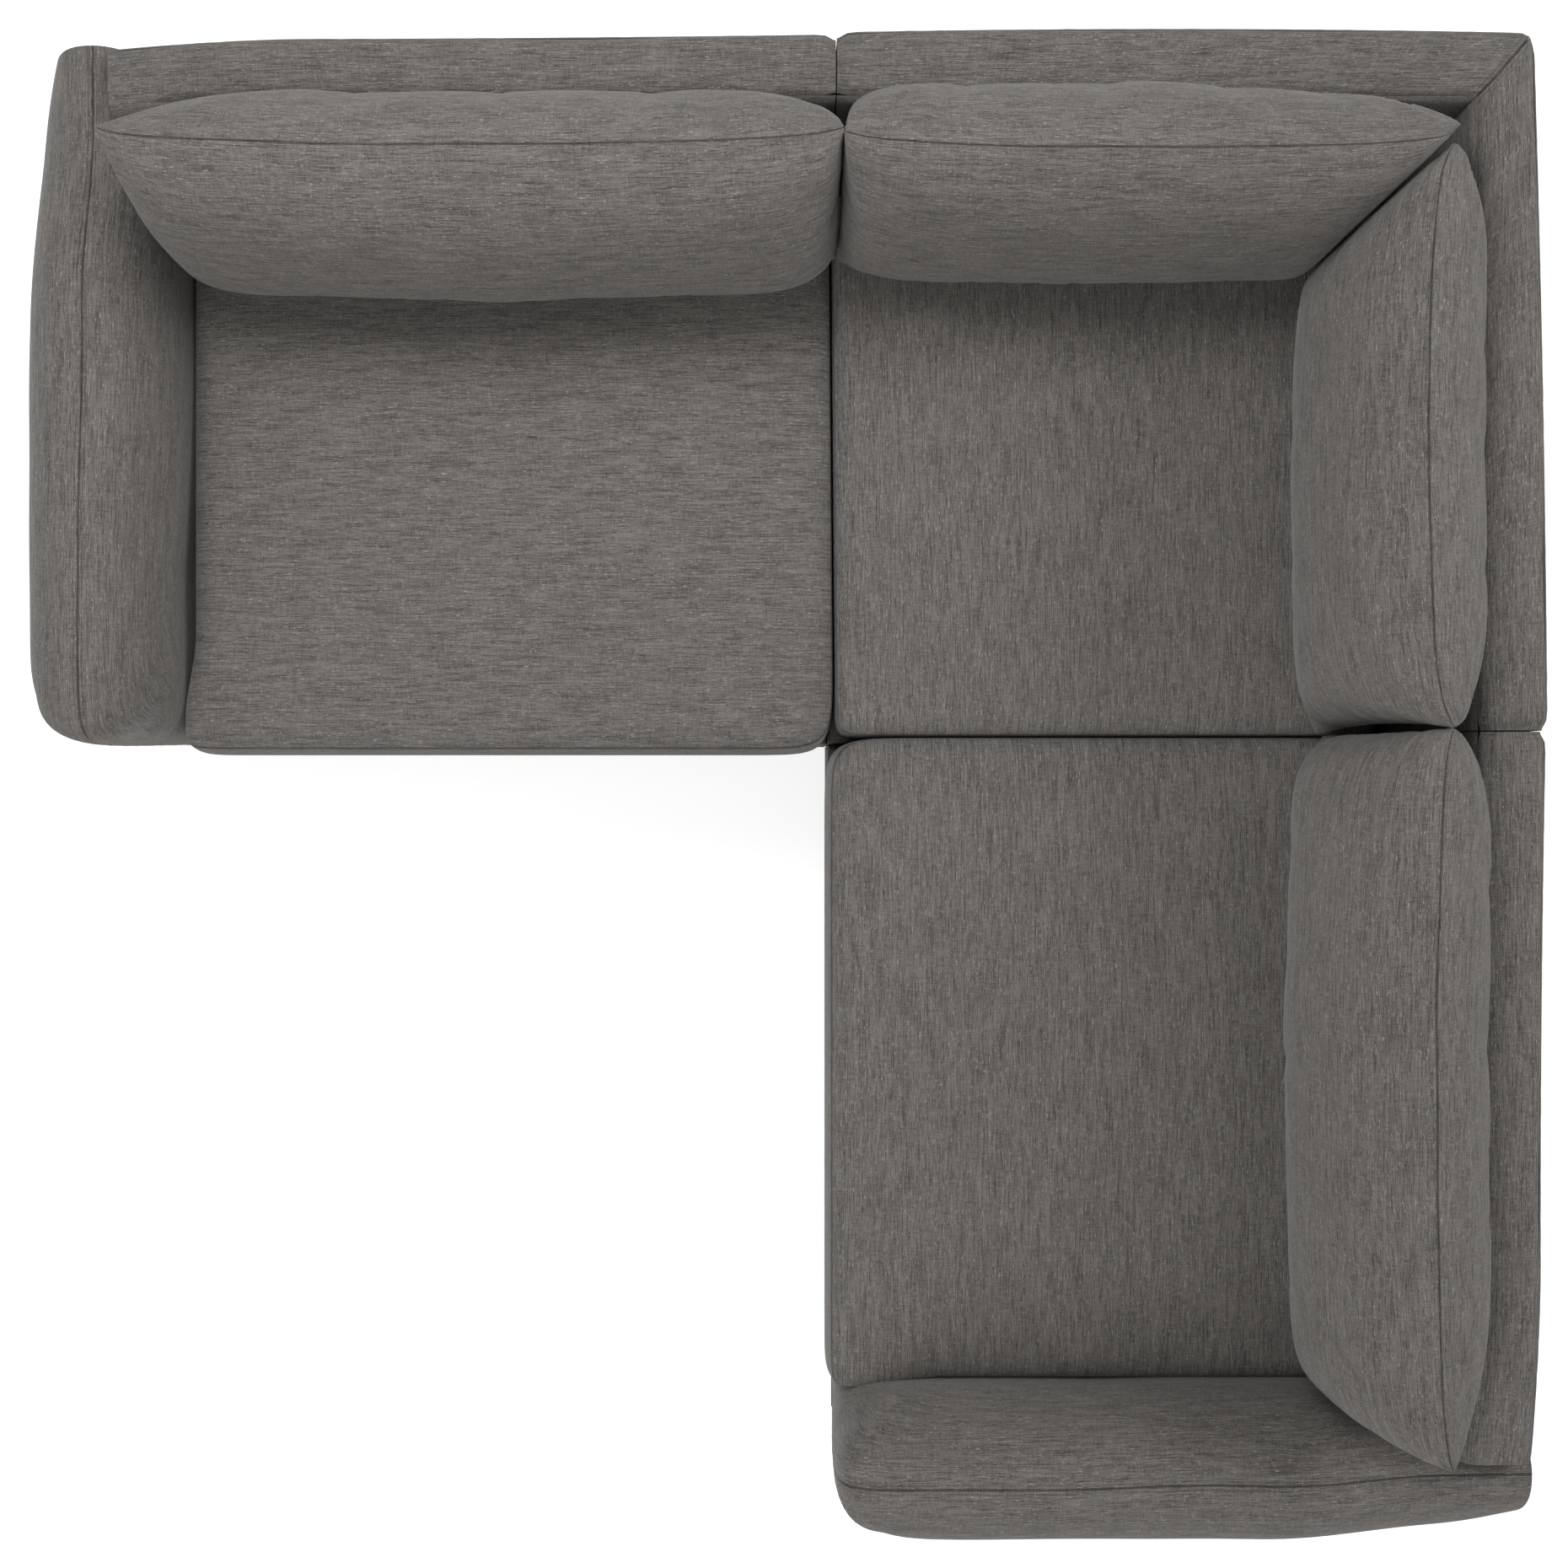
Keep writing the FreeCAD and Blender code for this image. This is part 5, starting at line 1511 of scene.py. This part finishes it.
@dataclass
class Back(SoftPiece):
    """A padded back: leaning inner face, flat band along its top and upright outer face.

    Args:
        start: X of its left end.
        end: X of its right end, for a back that isn't mitred.
        mitred: Whether it ends on the diagonal of the outer corner.
        dip: How far its top drops towards the left end.
        outer_shift: How far the outer face stands out at the left end, in the middle and
            at the right end.
        mitre_shift: How far the mitred end's outer edge moves along, to meet its neighbour.
        bottom_z: Height of its underside.
        top_z: Height of its top.
        bend_z: Height where its inner face starts to lean.
        foot_y: Y of the inner face's foot.
        lean: How far the inner face leans back up to its top.
        outer_y: Y of its outer face.
        inner_round: Radius of the top's inner edge.
        outer_round: Radius of the top's outer edge.
        dip_run: Length over which the top drops.
        corner_gap: Gap between two mitred backs.
        step: Length of a grid step.
    """

    start: float
    end: float
    mitred: bool
    dip: float
    outer_shift: Triple = (0.0, 0.0, 0.0)
    mitre_shift: float = 0.0
    bottom_z: float = 0.0455
    top_z: float = 0.699
    bend_z: float = 0.2832
    foot_y: float = 0.9055
    lean: float = 0.0405
    outer_y: float = 1.0385
    inner_round: float = 0.024
    outer_round: float = 0.018
    dip_run: float = 0.27
    corner_gap: float = 0.0004
    step: float = 0.014

    def section(self) -> list[tuple[Array, Array]]:
        """Side view of the back, split at its seams.

        Returns:
            Rows of Y and Z with their distances along the cloth, for the inner face, the
            band and the outer face.
        """
        r, q = self.inner_round, self.outer_round
        inner_y = self.foot_y + self.lean
        angle = np.linspace(0.0, QUARTER_TURN, 16)
        less_cos, less_sin = 1.0 - np.cos(angle), 1.0 - np.sin(angle)
        inner_arc = np.stack([inner_y + r * less_cos, self.top_z - r * less_sin], axis=1)
        outer_arc = np.stack([self.outer_y - q * less_sin, self.top_z - q * less_cos], axis=1)
        half = len(angle) // 2
        foot = [[self.foot_y, self.bottom_z], [self.foot_y, self.bend_z]]
        heel = [[self.outer_y, self.bottom_z + 0.2], [self.outer_y, self.bottom_z]]
        face = np.concatenate([foot, inner_arc[:half + 1]])
        band = np.concatenate([inner_arc[half:], outer_arc[:half + 1]])
        outside = np.concatenate([outer_arc[half:], heel])
        runs = [spaced(length_of(curve), self.step) for curve in (face, band, outside)]
        return [(along(curve, run), run) for curve, run in zip((face, band, outside), runs)]

    def panel(self, row: Array, run: Array, fold: int) -> Patch:
        """One panel swept along the back.

        Args:
            row: Y and Z of the section's points.
            run: Their distances along the cloth.
            fold: 0 for the inner face, 1 for the band and 2 for the outer face.

        Returns:
            The panel as a patch, rows along the section.
        """
        length = (self.outer_y if self.mitred else self.end) - self.start
        s = spaced(length, self.step)
        share = (s / s[-1])[None, :]
        y = np.broadcast_to(row[:, :1], (len(row), len(s))).copy()
        z = np.broadcast_to(row[:, 1:], y.shape).copy()
        upper = smooth(z, self.bend_z, self.top_z)
        outer = smooth(y, self.foot_y + self.lean + 0.02, self.outer_y)
        stop = y - self.corner_gap if self.mitred else np.full_like(y, self.end)
        x = self.start + share * (stop - self.start)
        fall = self.dip * np.clip(1.0 - (x - self.start) / self.dip_run, 0.0, 1.0) ** 1.6
        z = z - fall * upper
        first, middle, last = self.outer_shift
        bend = first * (1.0 - share) * (1.0 - 2.0 * share) + 4.0 * middle * share * (1.0 - share)
        bend = bend + last * share * (2.0 * share - 1.0)
        y = y + bend * outer
        x = x + self.mitre_shift * outer * smooth(share, 0.5, 1.0)
        open_end = s if self.mitred else s[-1] - s
        pull = 0.005 * bell(open_end, 0.010)[None, :] * upper
        z = z - pull
        y = y - pull * (2.0 * outer - 1.0) * (1.0 if fold else 0.5)
        if self.mitred:
            y, x = self.rounded_corner(x, y)
        across = np.broadcast_to(np.minimum(run, run[-1] - run)[:, None], y.shape)
        ends = np.broadcast_to((s[-1] - s)[None, :], y.shape) * (1.0 if self.mitred else 1e3)
        sewn = (np.full_like(run, 1.0), run[-1] - run, run)[fold]
        seam = np.broadcast_to(sewn[:, None], y.shape)
        if fold == 1:
            seam = np.minimum(seam, ends * 0.7)
        cloth = paired(s + self.seed * 0.77, (-1, 1, 1)[fold] * run + self.seed)
        patch = Patch(np.stack([x, y, z], axis=2), cloth, seam)
        rise = seam_rise(across, 0.0014, 0.02)
        rise = rise + puckers(s[None, :], across, self.seed + fold, 0.0008)
        if fold == 1:
            rise = rise + 0.004 * np.sin(math.pi * (run / run[-1]))[:, None]
            rise = rise + 0.0010 * waves(s, self.seed + 5, (0.33, 0.57))[None, :]
        fade = smooth(np.minimum(s, s[-1] - s), 0.0, 0.02)[None, :]
        fade = fade * smooth(z, self.bottom_z, self.bottom_z + 0.04)
        outward = np.array([[0.0, -1.0, 0.1], [0.0, 0.0, 1.0], [0.0, 1.0, 0.1]][fold])
        return patch.pushed(rise * fade, outward)

    def rounded_corner(self, x: Array, y: Array) -> tuple[Array, Array]:
        """Y and X after the outer upright corner has been drawn in as an arc."""
        edge = self.outer_y - CORNER_ROUND
        near_x, near_y = (np.clip((side - edge) / CORNER_ROUND, 0.0, 1.0) for side in (x, y))
        shift = CORNER_ROUND * (1.0 - math.sqrt(0.5)) * (near_x * near_y)
        return y - shift, x - shift

    def patches(self) -> list[Patch]:
        """The three panels, the underside and both ends."""
        panels = [self.panel(row, run, fold) for fold, (row, run) in enumerate(self.section())]
        inner, band, outside = (panel.points for panel in panels)
        under = bridge(inner[0], outside[-1], self.seed)
        loops = [np.concatenate([inner[:, end], band[1:, end], outside[1:, end]])
                 for end in (0, -1)]
        return [*panels, under, *map(self.end_cap, loops)]

    def end_cap(self, loop: Array) -> Patch:
        """Closes an end: the outline's left half joined to its right half by level rows.

        Args:
            loop: Outline from the inner face's foot over the top to the outer foot.

        Returns:
            A patch between the two halves of the outline.
        """
        half = (len(loop) + 1) // 2
        return bridge(loop[:half], loop[::-1][:half], self.seed)


# The whole sofa


# Heights in metres of the seat cores, of the decks below them and of the base borders
CORE_Z = (0.2915, 0.430)
DECK_Z = (0.2497, 0.2833)
BASE_Z = (0.0452, 0.2492)

# Radius of the upper edges and height of the crown of cores and decks, in metres
CORE_EDGE = (0.030, 0.010)
DECK_EDGE = (0.020, 0.0008)

# Where the connectors lie along each joint, in metres
CONNECTORS = (0.310, 0.790)

# Half widths of the cut-outs round feet, sleeves and tongues, in metres
FOOT_CUT = 0.0295
SLEEVE_CUT = 0.0460
TONGUE_CUT = 0.0256


def block(low: Pair, high: Pair, levels: Pair) -> tuple[Triple, Triple]:
    """Low and high corner of a box, from its corners in plan and its two heights."""
    return (*low, levels[0]), (*high, levels[1])


def foot_cuts(xs: Pair, ys: Pair) -> list[tuple[float, float, float, float]]:
    """Cut-outs round the four feet of a unit."""
    return [(x - FOOT_CUT, x + FOOT_CUT, y - FOOT_CUT, y + FOOT_CUT) for x in xs for y in ys]


@dataclass(frozen=True)
class ArmUnit:
    """Where the photo shows the soft pieces of an arm unit, as on the left side.

    Args:
        prefix: First word of its names.
        hand: Its side of the sofa.
        seed: First of its pieces' seeds.
        cushion: X of the back cushion's ends.
        cushion_seam: Y of the back cushion's top seam.
        cushion_front: Depth of the back cushion's front.
        seat_front: Y of the seat's front.
        seat_end: X of the seat's right side.
        seat_skew: How far the seat's right front stands to the right.
        arm: X of the arm's outer face, of its seam and of its inner face.
        arm_back: How far the arm stands back.
        recess: How far the front half of the arm's inner face stands back.
        back_end: X of the back's right end.
        outer_shift: How far the back's outer face stands out.
    """

    prefix: str
    hand: Hand
    seed: int
    cushion: Pair
    cushion_seam: float
    cushion_front: float
    seat_front: float
    seat_end: float
    seat_skew: float
    arm: Triple
    arm_back: float
    recess: float
    back_end: float
    outer_shift: Triple


ARM_UNITS = (
    ArmUnit(
        "left", Hand.LEFT, 3, cushion=(-0.8375, 0.1075), cushion_seam=0.8435,
        cushion_front=0.116, seat_front=0.0910, seat_end=0.0980, seat_skew=0.0065,
        arm=(-1.0395, -0.9258, -0.8305), arm_back=0.0, recess=0.011, back_end=0.1015,
        outer_shift=(-0.007, -0.006, -0.001)),
    ArmUnit(
        "right", Hand.RIGHT, 41, cushion=(-0.8320, 0.1085), cushion_seam=0.8535,
        cushion_front=0.108, seat_front=0.1020, seat_end=0.1065, seat_skew=0.0,
        arm=(-1.0345, -0.9197, -0.8268), arm_back=0.008, recess=0.003, back_end=0.1085,
        outer_shift=(0.004, 0.0025, 0.009)),
)


@dataclass
class Sofa:
    """All covers, upholstery and inner pieces of the sofa."""

    back_cushions: list[BackCushion] = field(default_factory=list)
    seats: list[SeatCushion] = field(default_factory=list)
    arms: list[Arm] = field(default_factory=list)
    backs: list[Back] = field(default_factory=list)
    cores: list[RoundedPad] = field(default_factory=list)
    decks: list[RoundedPad] = field(default_factory=list)
    borders: list[Border] = field(default_factory=list)
    dust_covers: list[DustCover] = field(default_factory=list)

    def __post_init__(self) -> None:
        """Lists every soft piece with its place."""
        for unit in ARM_UNITS:
            self.add_arm_unit(unit)
        self.add_corner_unit()

    def add_arm_unit(self, unit: ArmUnit) -> None:
        """Lists the soft pieces of an arm unit."""
        hand, seed = unit.hand, unit.seed
        body = f"{unit.prefix}_unit"
        cushion = f"{unit.prefix}_back_cushion"
        seat = f"{unit.prefix}_seat_cushion"
        outer_x, seam_x, inner_x = unit.arm
        self.back_cushions.append(BackCushion(
            cushion, cushion, hand, seed, *unit.cushion, End.TIP, End.BLUNT,
            seam_y=unit.cushion_seam, front=unit.cushion_front, foot_tuck=0.024))
        self.seats.append(SeatCushion(
            seat, seat, hand, seed + 5, (-0.8275, unit.seat_front), (unit.seat_end, 0.9035),
            flare=0.015, skew=(0.0, unit.seat_skew)))
        self.arms.append(Arm(
            f"{unit.prefix}_arm_cover", body, hand, seed + 9, unit.recess,
            front_y=0.0955 + unit.arm_back, rear_y=1.0445 + unit.arm_back,
            outer_x=outer_x, seam_x=seam_x, inner_x=inner_x))
        self.backs.append(Back(
            f"{unit.prefix}_back_cover", body, hand, seed + 13, -0.878, unit.back_end, False,
            0.040, outer_shift=unit.outer_shift))
        self.cores.append(RoundedPad(
            f"{unit.prefix}_seat_core", seat, hand, seed + 17,
            *block((-0.790, 0.128), (0.062, 0.892), CORE_Z), *CORE_EDGE))
        self.decks.append(RoundedPad(
            f"{unit.prefix}_deck", body, hand, seed + 19,
            *block((-0.8255, 0.1005), (0.0988, 0.9045), DECK_Z), *DECK_EDGE))
        self.borders.append(Border(
            f"{unit.prefix}_base_border", body, hand, seed + 21,
            [block((-0.8440, 0.1000), (0.0948, 0.1148), BASE_Z),
             block((0.0952, 0.1000), (0.0990, 0.9045), BASE_Z)]))
        sleeves = [(0.0605, 0.12, y - SLEEVE_CUT, y + SLEEVE_CUT) for y in CONNECTORS]
        self.dust_covers.append(DustCover(
            f"{unit.prefix}_dust_cloth", body, hand, seed + 23, (-0.9915, 0.1105),
            (0.0985, 1.0215), foot_cuts((-0.928, 0.027), (0.178, 0.970)) + sleeves))

    def add_corner_unit(self) -> None:
        """Lists the soft pieces of the corner unit."""
        body, seat = "corner_unit", "corner_seat_cushion"
        tongues = [(0.08, 0.1556, y - TONGUE_CUT, y + TONGUE_CUT) for y in CONNECTORS]
        tongues += [(y0, y1, x0, x1) for x0, x1, y0, y1 in tongues]
        self.dust_covers.append(DustCover(
            "corner_dust_cloth", body, Hand.LEFT, 57, (0.1015, 0.1015), (1.0215, 1.0215),
            foot_cuts((0.173, 0.970), (0.173, 0.970)) + tongues))
        self.cores.append(RoundedPad(
            "corner_seat_core", seat, Hand.LEFT, 51,
            *block((0.140, 0.145), (0.868, 0.868), CORE_Z), *CORE_EDGE))
        self.decks.append(RoundedPad(
            "corner_deck", body, Hand.LEFT, 53,
            *block((0.1012, 0.1012), (0.9045, 0.9045), DECK_Z), *DECK_EDGE))
        self.borders.append(Border(
            "corner_base_border", body, Hand.LEFT, 55,
            [block((0.1010, 0.1010), (0.1048, 0.9045), BASE_Z),
             block((0.1052, 0.1010), (0.9045, 0.1048), BASE_Z)]))
        self.back_cushions.append(BackCushion(
            "corner_left_back_cushion", "corner_left_back_cushion", Hand.LEFT, 23, 0.1105, 0.893,
            End.SQUARE, End.CORNER, seam_y=0.8395, front=0.086, rear=0.133,
            pressed_beyond=0.0115, side_draw=(0.001, 0.010), taper=(0.07, 0.17)))
        self.back_cushions.append(BackCushion(
            "corner_right_back_cushion", "corner_right_back_cushion", Hand.RIGHT, 29, 0.1115,
            0.850, End.BLUNT, End.CORNER, front=0.088, rear=0.122, tip_back=0.020,
            bow_back=0.018, pressed_beyond=-0.0135, taper=(0.09, 0.0)))
        self.seats.append(SeatCushion(
            seat, seat, Hand.LEFT, 31, (0.1020, 0.1095), (0.9035, 0.9035), skew=(0.0065, 0.0),
            bulges=(0.001, 0.001, 0.001, 0.001), along_x=False, corner_power=(34.0, 34.0)))
        self.backs.append(Back(
            "corner_left_back_cover", body, Hand.LEFT, 37, 0.1031, 1.04, True, 0.0,
            outer_shift=(0.002, 0.0065, 0.001), mitre_shift=-0.007))
        self.backs.append(Back(
            "corner_right_back_cover", body, Hand.RIGHT, 39, 0.1101, 1.04, True, 0.0,
            outer_shift=(0.011, 0.005, -0.007), mitre_shift=0.001))

    def build(self) -> None:
        """Makes every piece, dresses it, ties it to its body and hides the node that it replaces,
        then runs the cloth.
        """
        puffing = Puffing()
        for item in self.back_cushions:
            piece = item.build()
            puffing.add(piece, item.limited, foot=0.02, pressure=4.0, growth=0.011)
            cover_node, fill_node = item.name + "_cover", item.name + "_fill"
            self.settle(piece, item.body, CUSHION_FABRIC, cover_node)
            self.settle(item.fill().build(), item.body, FIBRE, fill_node)
        self.settle_all(self.cores, FOAM, ("seat_core", "seat_cushion_core"))
        self.settle_all(self.decks, DECK_CLOTH, ("deck", "deck_pad"))
        self.settle_all(self.borders, PANEL_FABRIC,
                        ("base_border", "base_upholstery"))
        self.settle_all(self.seats, CUSHION_FABRIC,
                        ("seat_cushion", "seat_cushion_cover"))
        for item in self.dust_covers:
            self.stretch(item)
        self.settle_all(self.arms, PANEL_FABRIC,
                        ("arm_cover", "arm_upholstery"))
        self.settle_all(self.backs, PANEL_FABRIC,
                        ("back_cover", "back_upholstery"))
        puffing.run()

    def stretch(self, item: DustCover) -> None:
        """Ties a dust cover to its body as a stretched sheet of cloth."""
        piece = item.build()
        DUST_CLOTH.dress(piece)
        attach(piece, item.body)
        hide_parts(item.name.replace("dust_cloth", "dust_cover"))
        item.area()

    def settle_all(self, items: list[SoftPiece], finish: Finish,
                   names: tuple[str, str]) -> None:
        """Makes and ties a list of padded pieces.

        Args:
            items: The pieces.
            finish: Their finish.
            names: Last words of the pieces' names, and those of the nodes they replace.
        """
        for item in items:
            self.settle(item.build(), item.body, finish, item.name.replace(*names))

    def settle(self, piece: Piece, body: str, finish: Finish, node: str) -> None:
        """Dresses a padded piece, ties it to its body and hides the node that it replaces."""
        finish.dress(piece)
        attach(piece, body)
        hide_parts(node)
        log.info("piece %s: %d faces", piece.name, len(piece.data.polygons))


NODE_FINISHES: dict[str, Finish] = {
    "base_rails": TIMBER,
    "corner_blocks": TIMBER,
    "back_frame": TIMBER,
    "arm_frame": TIMBER,
    "seat_webbing": WEBBING,
    "feet": FOOT_PLASTIC,
    "foot_bolts": ZINC_STEEL,
    "screws": ZINC_STEEL,
    "socket_brackets": COATED_STEEL,
    "tongue_plates": COATED_STEEL,
}


def dress_nodes() -> None:
    """Gives each node that stays visible the finish that its name ends with."""
    for name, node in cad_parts.items():
        for ending, finish in NODE_FINISHES.items():
            if name.endswith(ending) and not node.hide_render:
                finish.dress(node)
                log.info("node %s: %s", name, finish.name)


# Stage


# Name, place, side length in metres and watts of each soft lamp
LAMPS: tuple[tuple[str, Triple, float, float], ...] = (
    ("overhead_lamp", (-0.5, 1.3, 2.7), 1.0, 23.0),
    ("side_lamp", (3.9, 1.5, 3.2), 2.0, 63.0),
    ("front_lamp", (-2.2, -3.8, 3.4), 2.4, 70.0),
)


@dataclass
class Stage:
    """White floor, soft studio light and the camera above the sofa.

    Args:
        eye: Place of the camera, which looks straight down.
        lens: Focal length in millimetres on a 36 mm sensor.
        ambient: Strength of the even light from all round.
        aim: Place that the lamps face.
    """

    eye: Triple = (0.0325, 0.039, 3.33)
    lens: float = 45.56
    ambient: float = 0.40
    aim: Triple = (0.0, 0.1, 0.4)

    def floor(self) -> None:
        """A wide floor that is white to the camera apart from the sofa's shadow."""
        mesh = bpy.data.meshes.new("floor")
        size = 40.0
        corners = [(-size, -size, 0.0), (size, -size, 0.0), (size, size, 0.0), (-size, size, 0.0)]
        mesh.from_pydata(corners, [], [(0, 1, 2, 3)])
        linked("floor", mesh)
        material = bpy.data.materials.new("white_floor")
        material.use_nodes = True
        graph = Graph(material.node_tree)
        output = graph.add("ShaderNodeOutputMaterial")
        diffuse = graph.feed(graph.add("ShaderNodeBsdfDiffuse"), Color=(0.75, 0.75, 0.75, 1.0))
        glow = graph.feed(graph.add("ShaderNodeEmission"), Strength=self.seen(graph, 0.70))
        both = graph.add("ShaderNodeAddShader")
        graph.feed(both, i0=diffuse.outputs[0], i1=glow.outputs[0])
        graph.wire(both.outputs[0], output.inputs["Surface"])
        mesh.materials.append(material)

    def seen(self, graph: Graph, strength: float) -> Socket:
        """A strength for rays that come from the eye, a mirror or glass, and 0 for others."""
        path = graph.add("ShaderNodeLightPath")
        seen = graph.math("ADD", path.outputs["Is Camera Ray"], path.outputs["Is Glossy Ray"])
        seen = graph.math("ADD", seen, path.outputs["Is Transmission Ray"], clamp=True)
        return graph.math("MULTIPLY", seen, strength)

    def world(self) -> None:
        """Even light from all round, white where it is seen."""
        world = bpy.data.worlds.new("studio")
        bpy.context.scene.world = world
        world.use_nodes = True
        graph = Graph(world.node_tree)
        output = graph.add("ShaderNodeOutputWorld")
        white = (1.0, 1.0, 1.0, 1.0)
        dim = graph.feed(graph.add("ShaderNodeBackground"), Color=white, Strength=self.ambient)
        full = graph.feed(graph.add("ShaderNodeBackground"), Color=white, Strength=1.0)
        mix = graph.add("ShaderNodeMixShader")
        graph.feed(mix, i0=self.seen(graph, 1.0), i1=dim.outputs[0], i2=full.outputs[0])
        graph.wire(mix.outputs[0], output.inputs["Surface"])

    def lamp(self, name: str, place: Triple, size: float, watts: float) -> None:
        """A square lamp that faces the sofa's middle."""
        light = bpy.data.lights.new(name, "AREA")
        light.shape = "SQUARE"
        light.size = size
        light.energy = watts
        lamp = linked(name, light)
        lamp.location = place
        towards = Vector(self.aim) - Vector(place)
        lamp.rotation_euler = towards.to_track_quat("-Z", "Y").to_euler()

    def camera(self) -> None:
        """The camera, straight above, with +Y at the top of the picture."""
        data = bpy.data.cameras.new("camera")
        data.lens = self.lens
        data.sensor_width = 36.0
        data.clip_end = 100.0
        camera = linked("camera", data)
        camera.location = self.eye
        bpy.context.scene.camera = camera

    def build(self) -> None:
        """Sets the whole stage."""
        self.floor()
        self.world()
        for lamp in LAMPS:
            self.lamp(*lamp)
        self.camera()
        bpy.context.scene.view_settings.view_transform = "Standard"


def main() -> None:
    """Builds the sofa and its stage."""
    logging.basicConfig(level=logging.INFO, format="%(name)s %(message)s")
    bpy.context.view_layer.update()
    Sofa().build()
    dress_nodes()
    Stage().build()


if __name__ == "__main__":
    main()
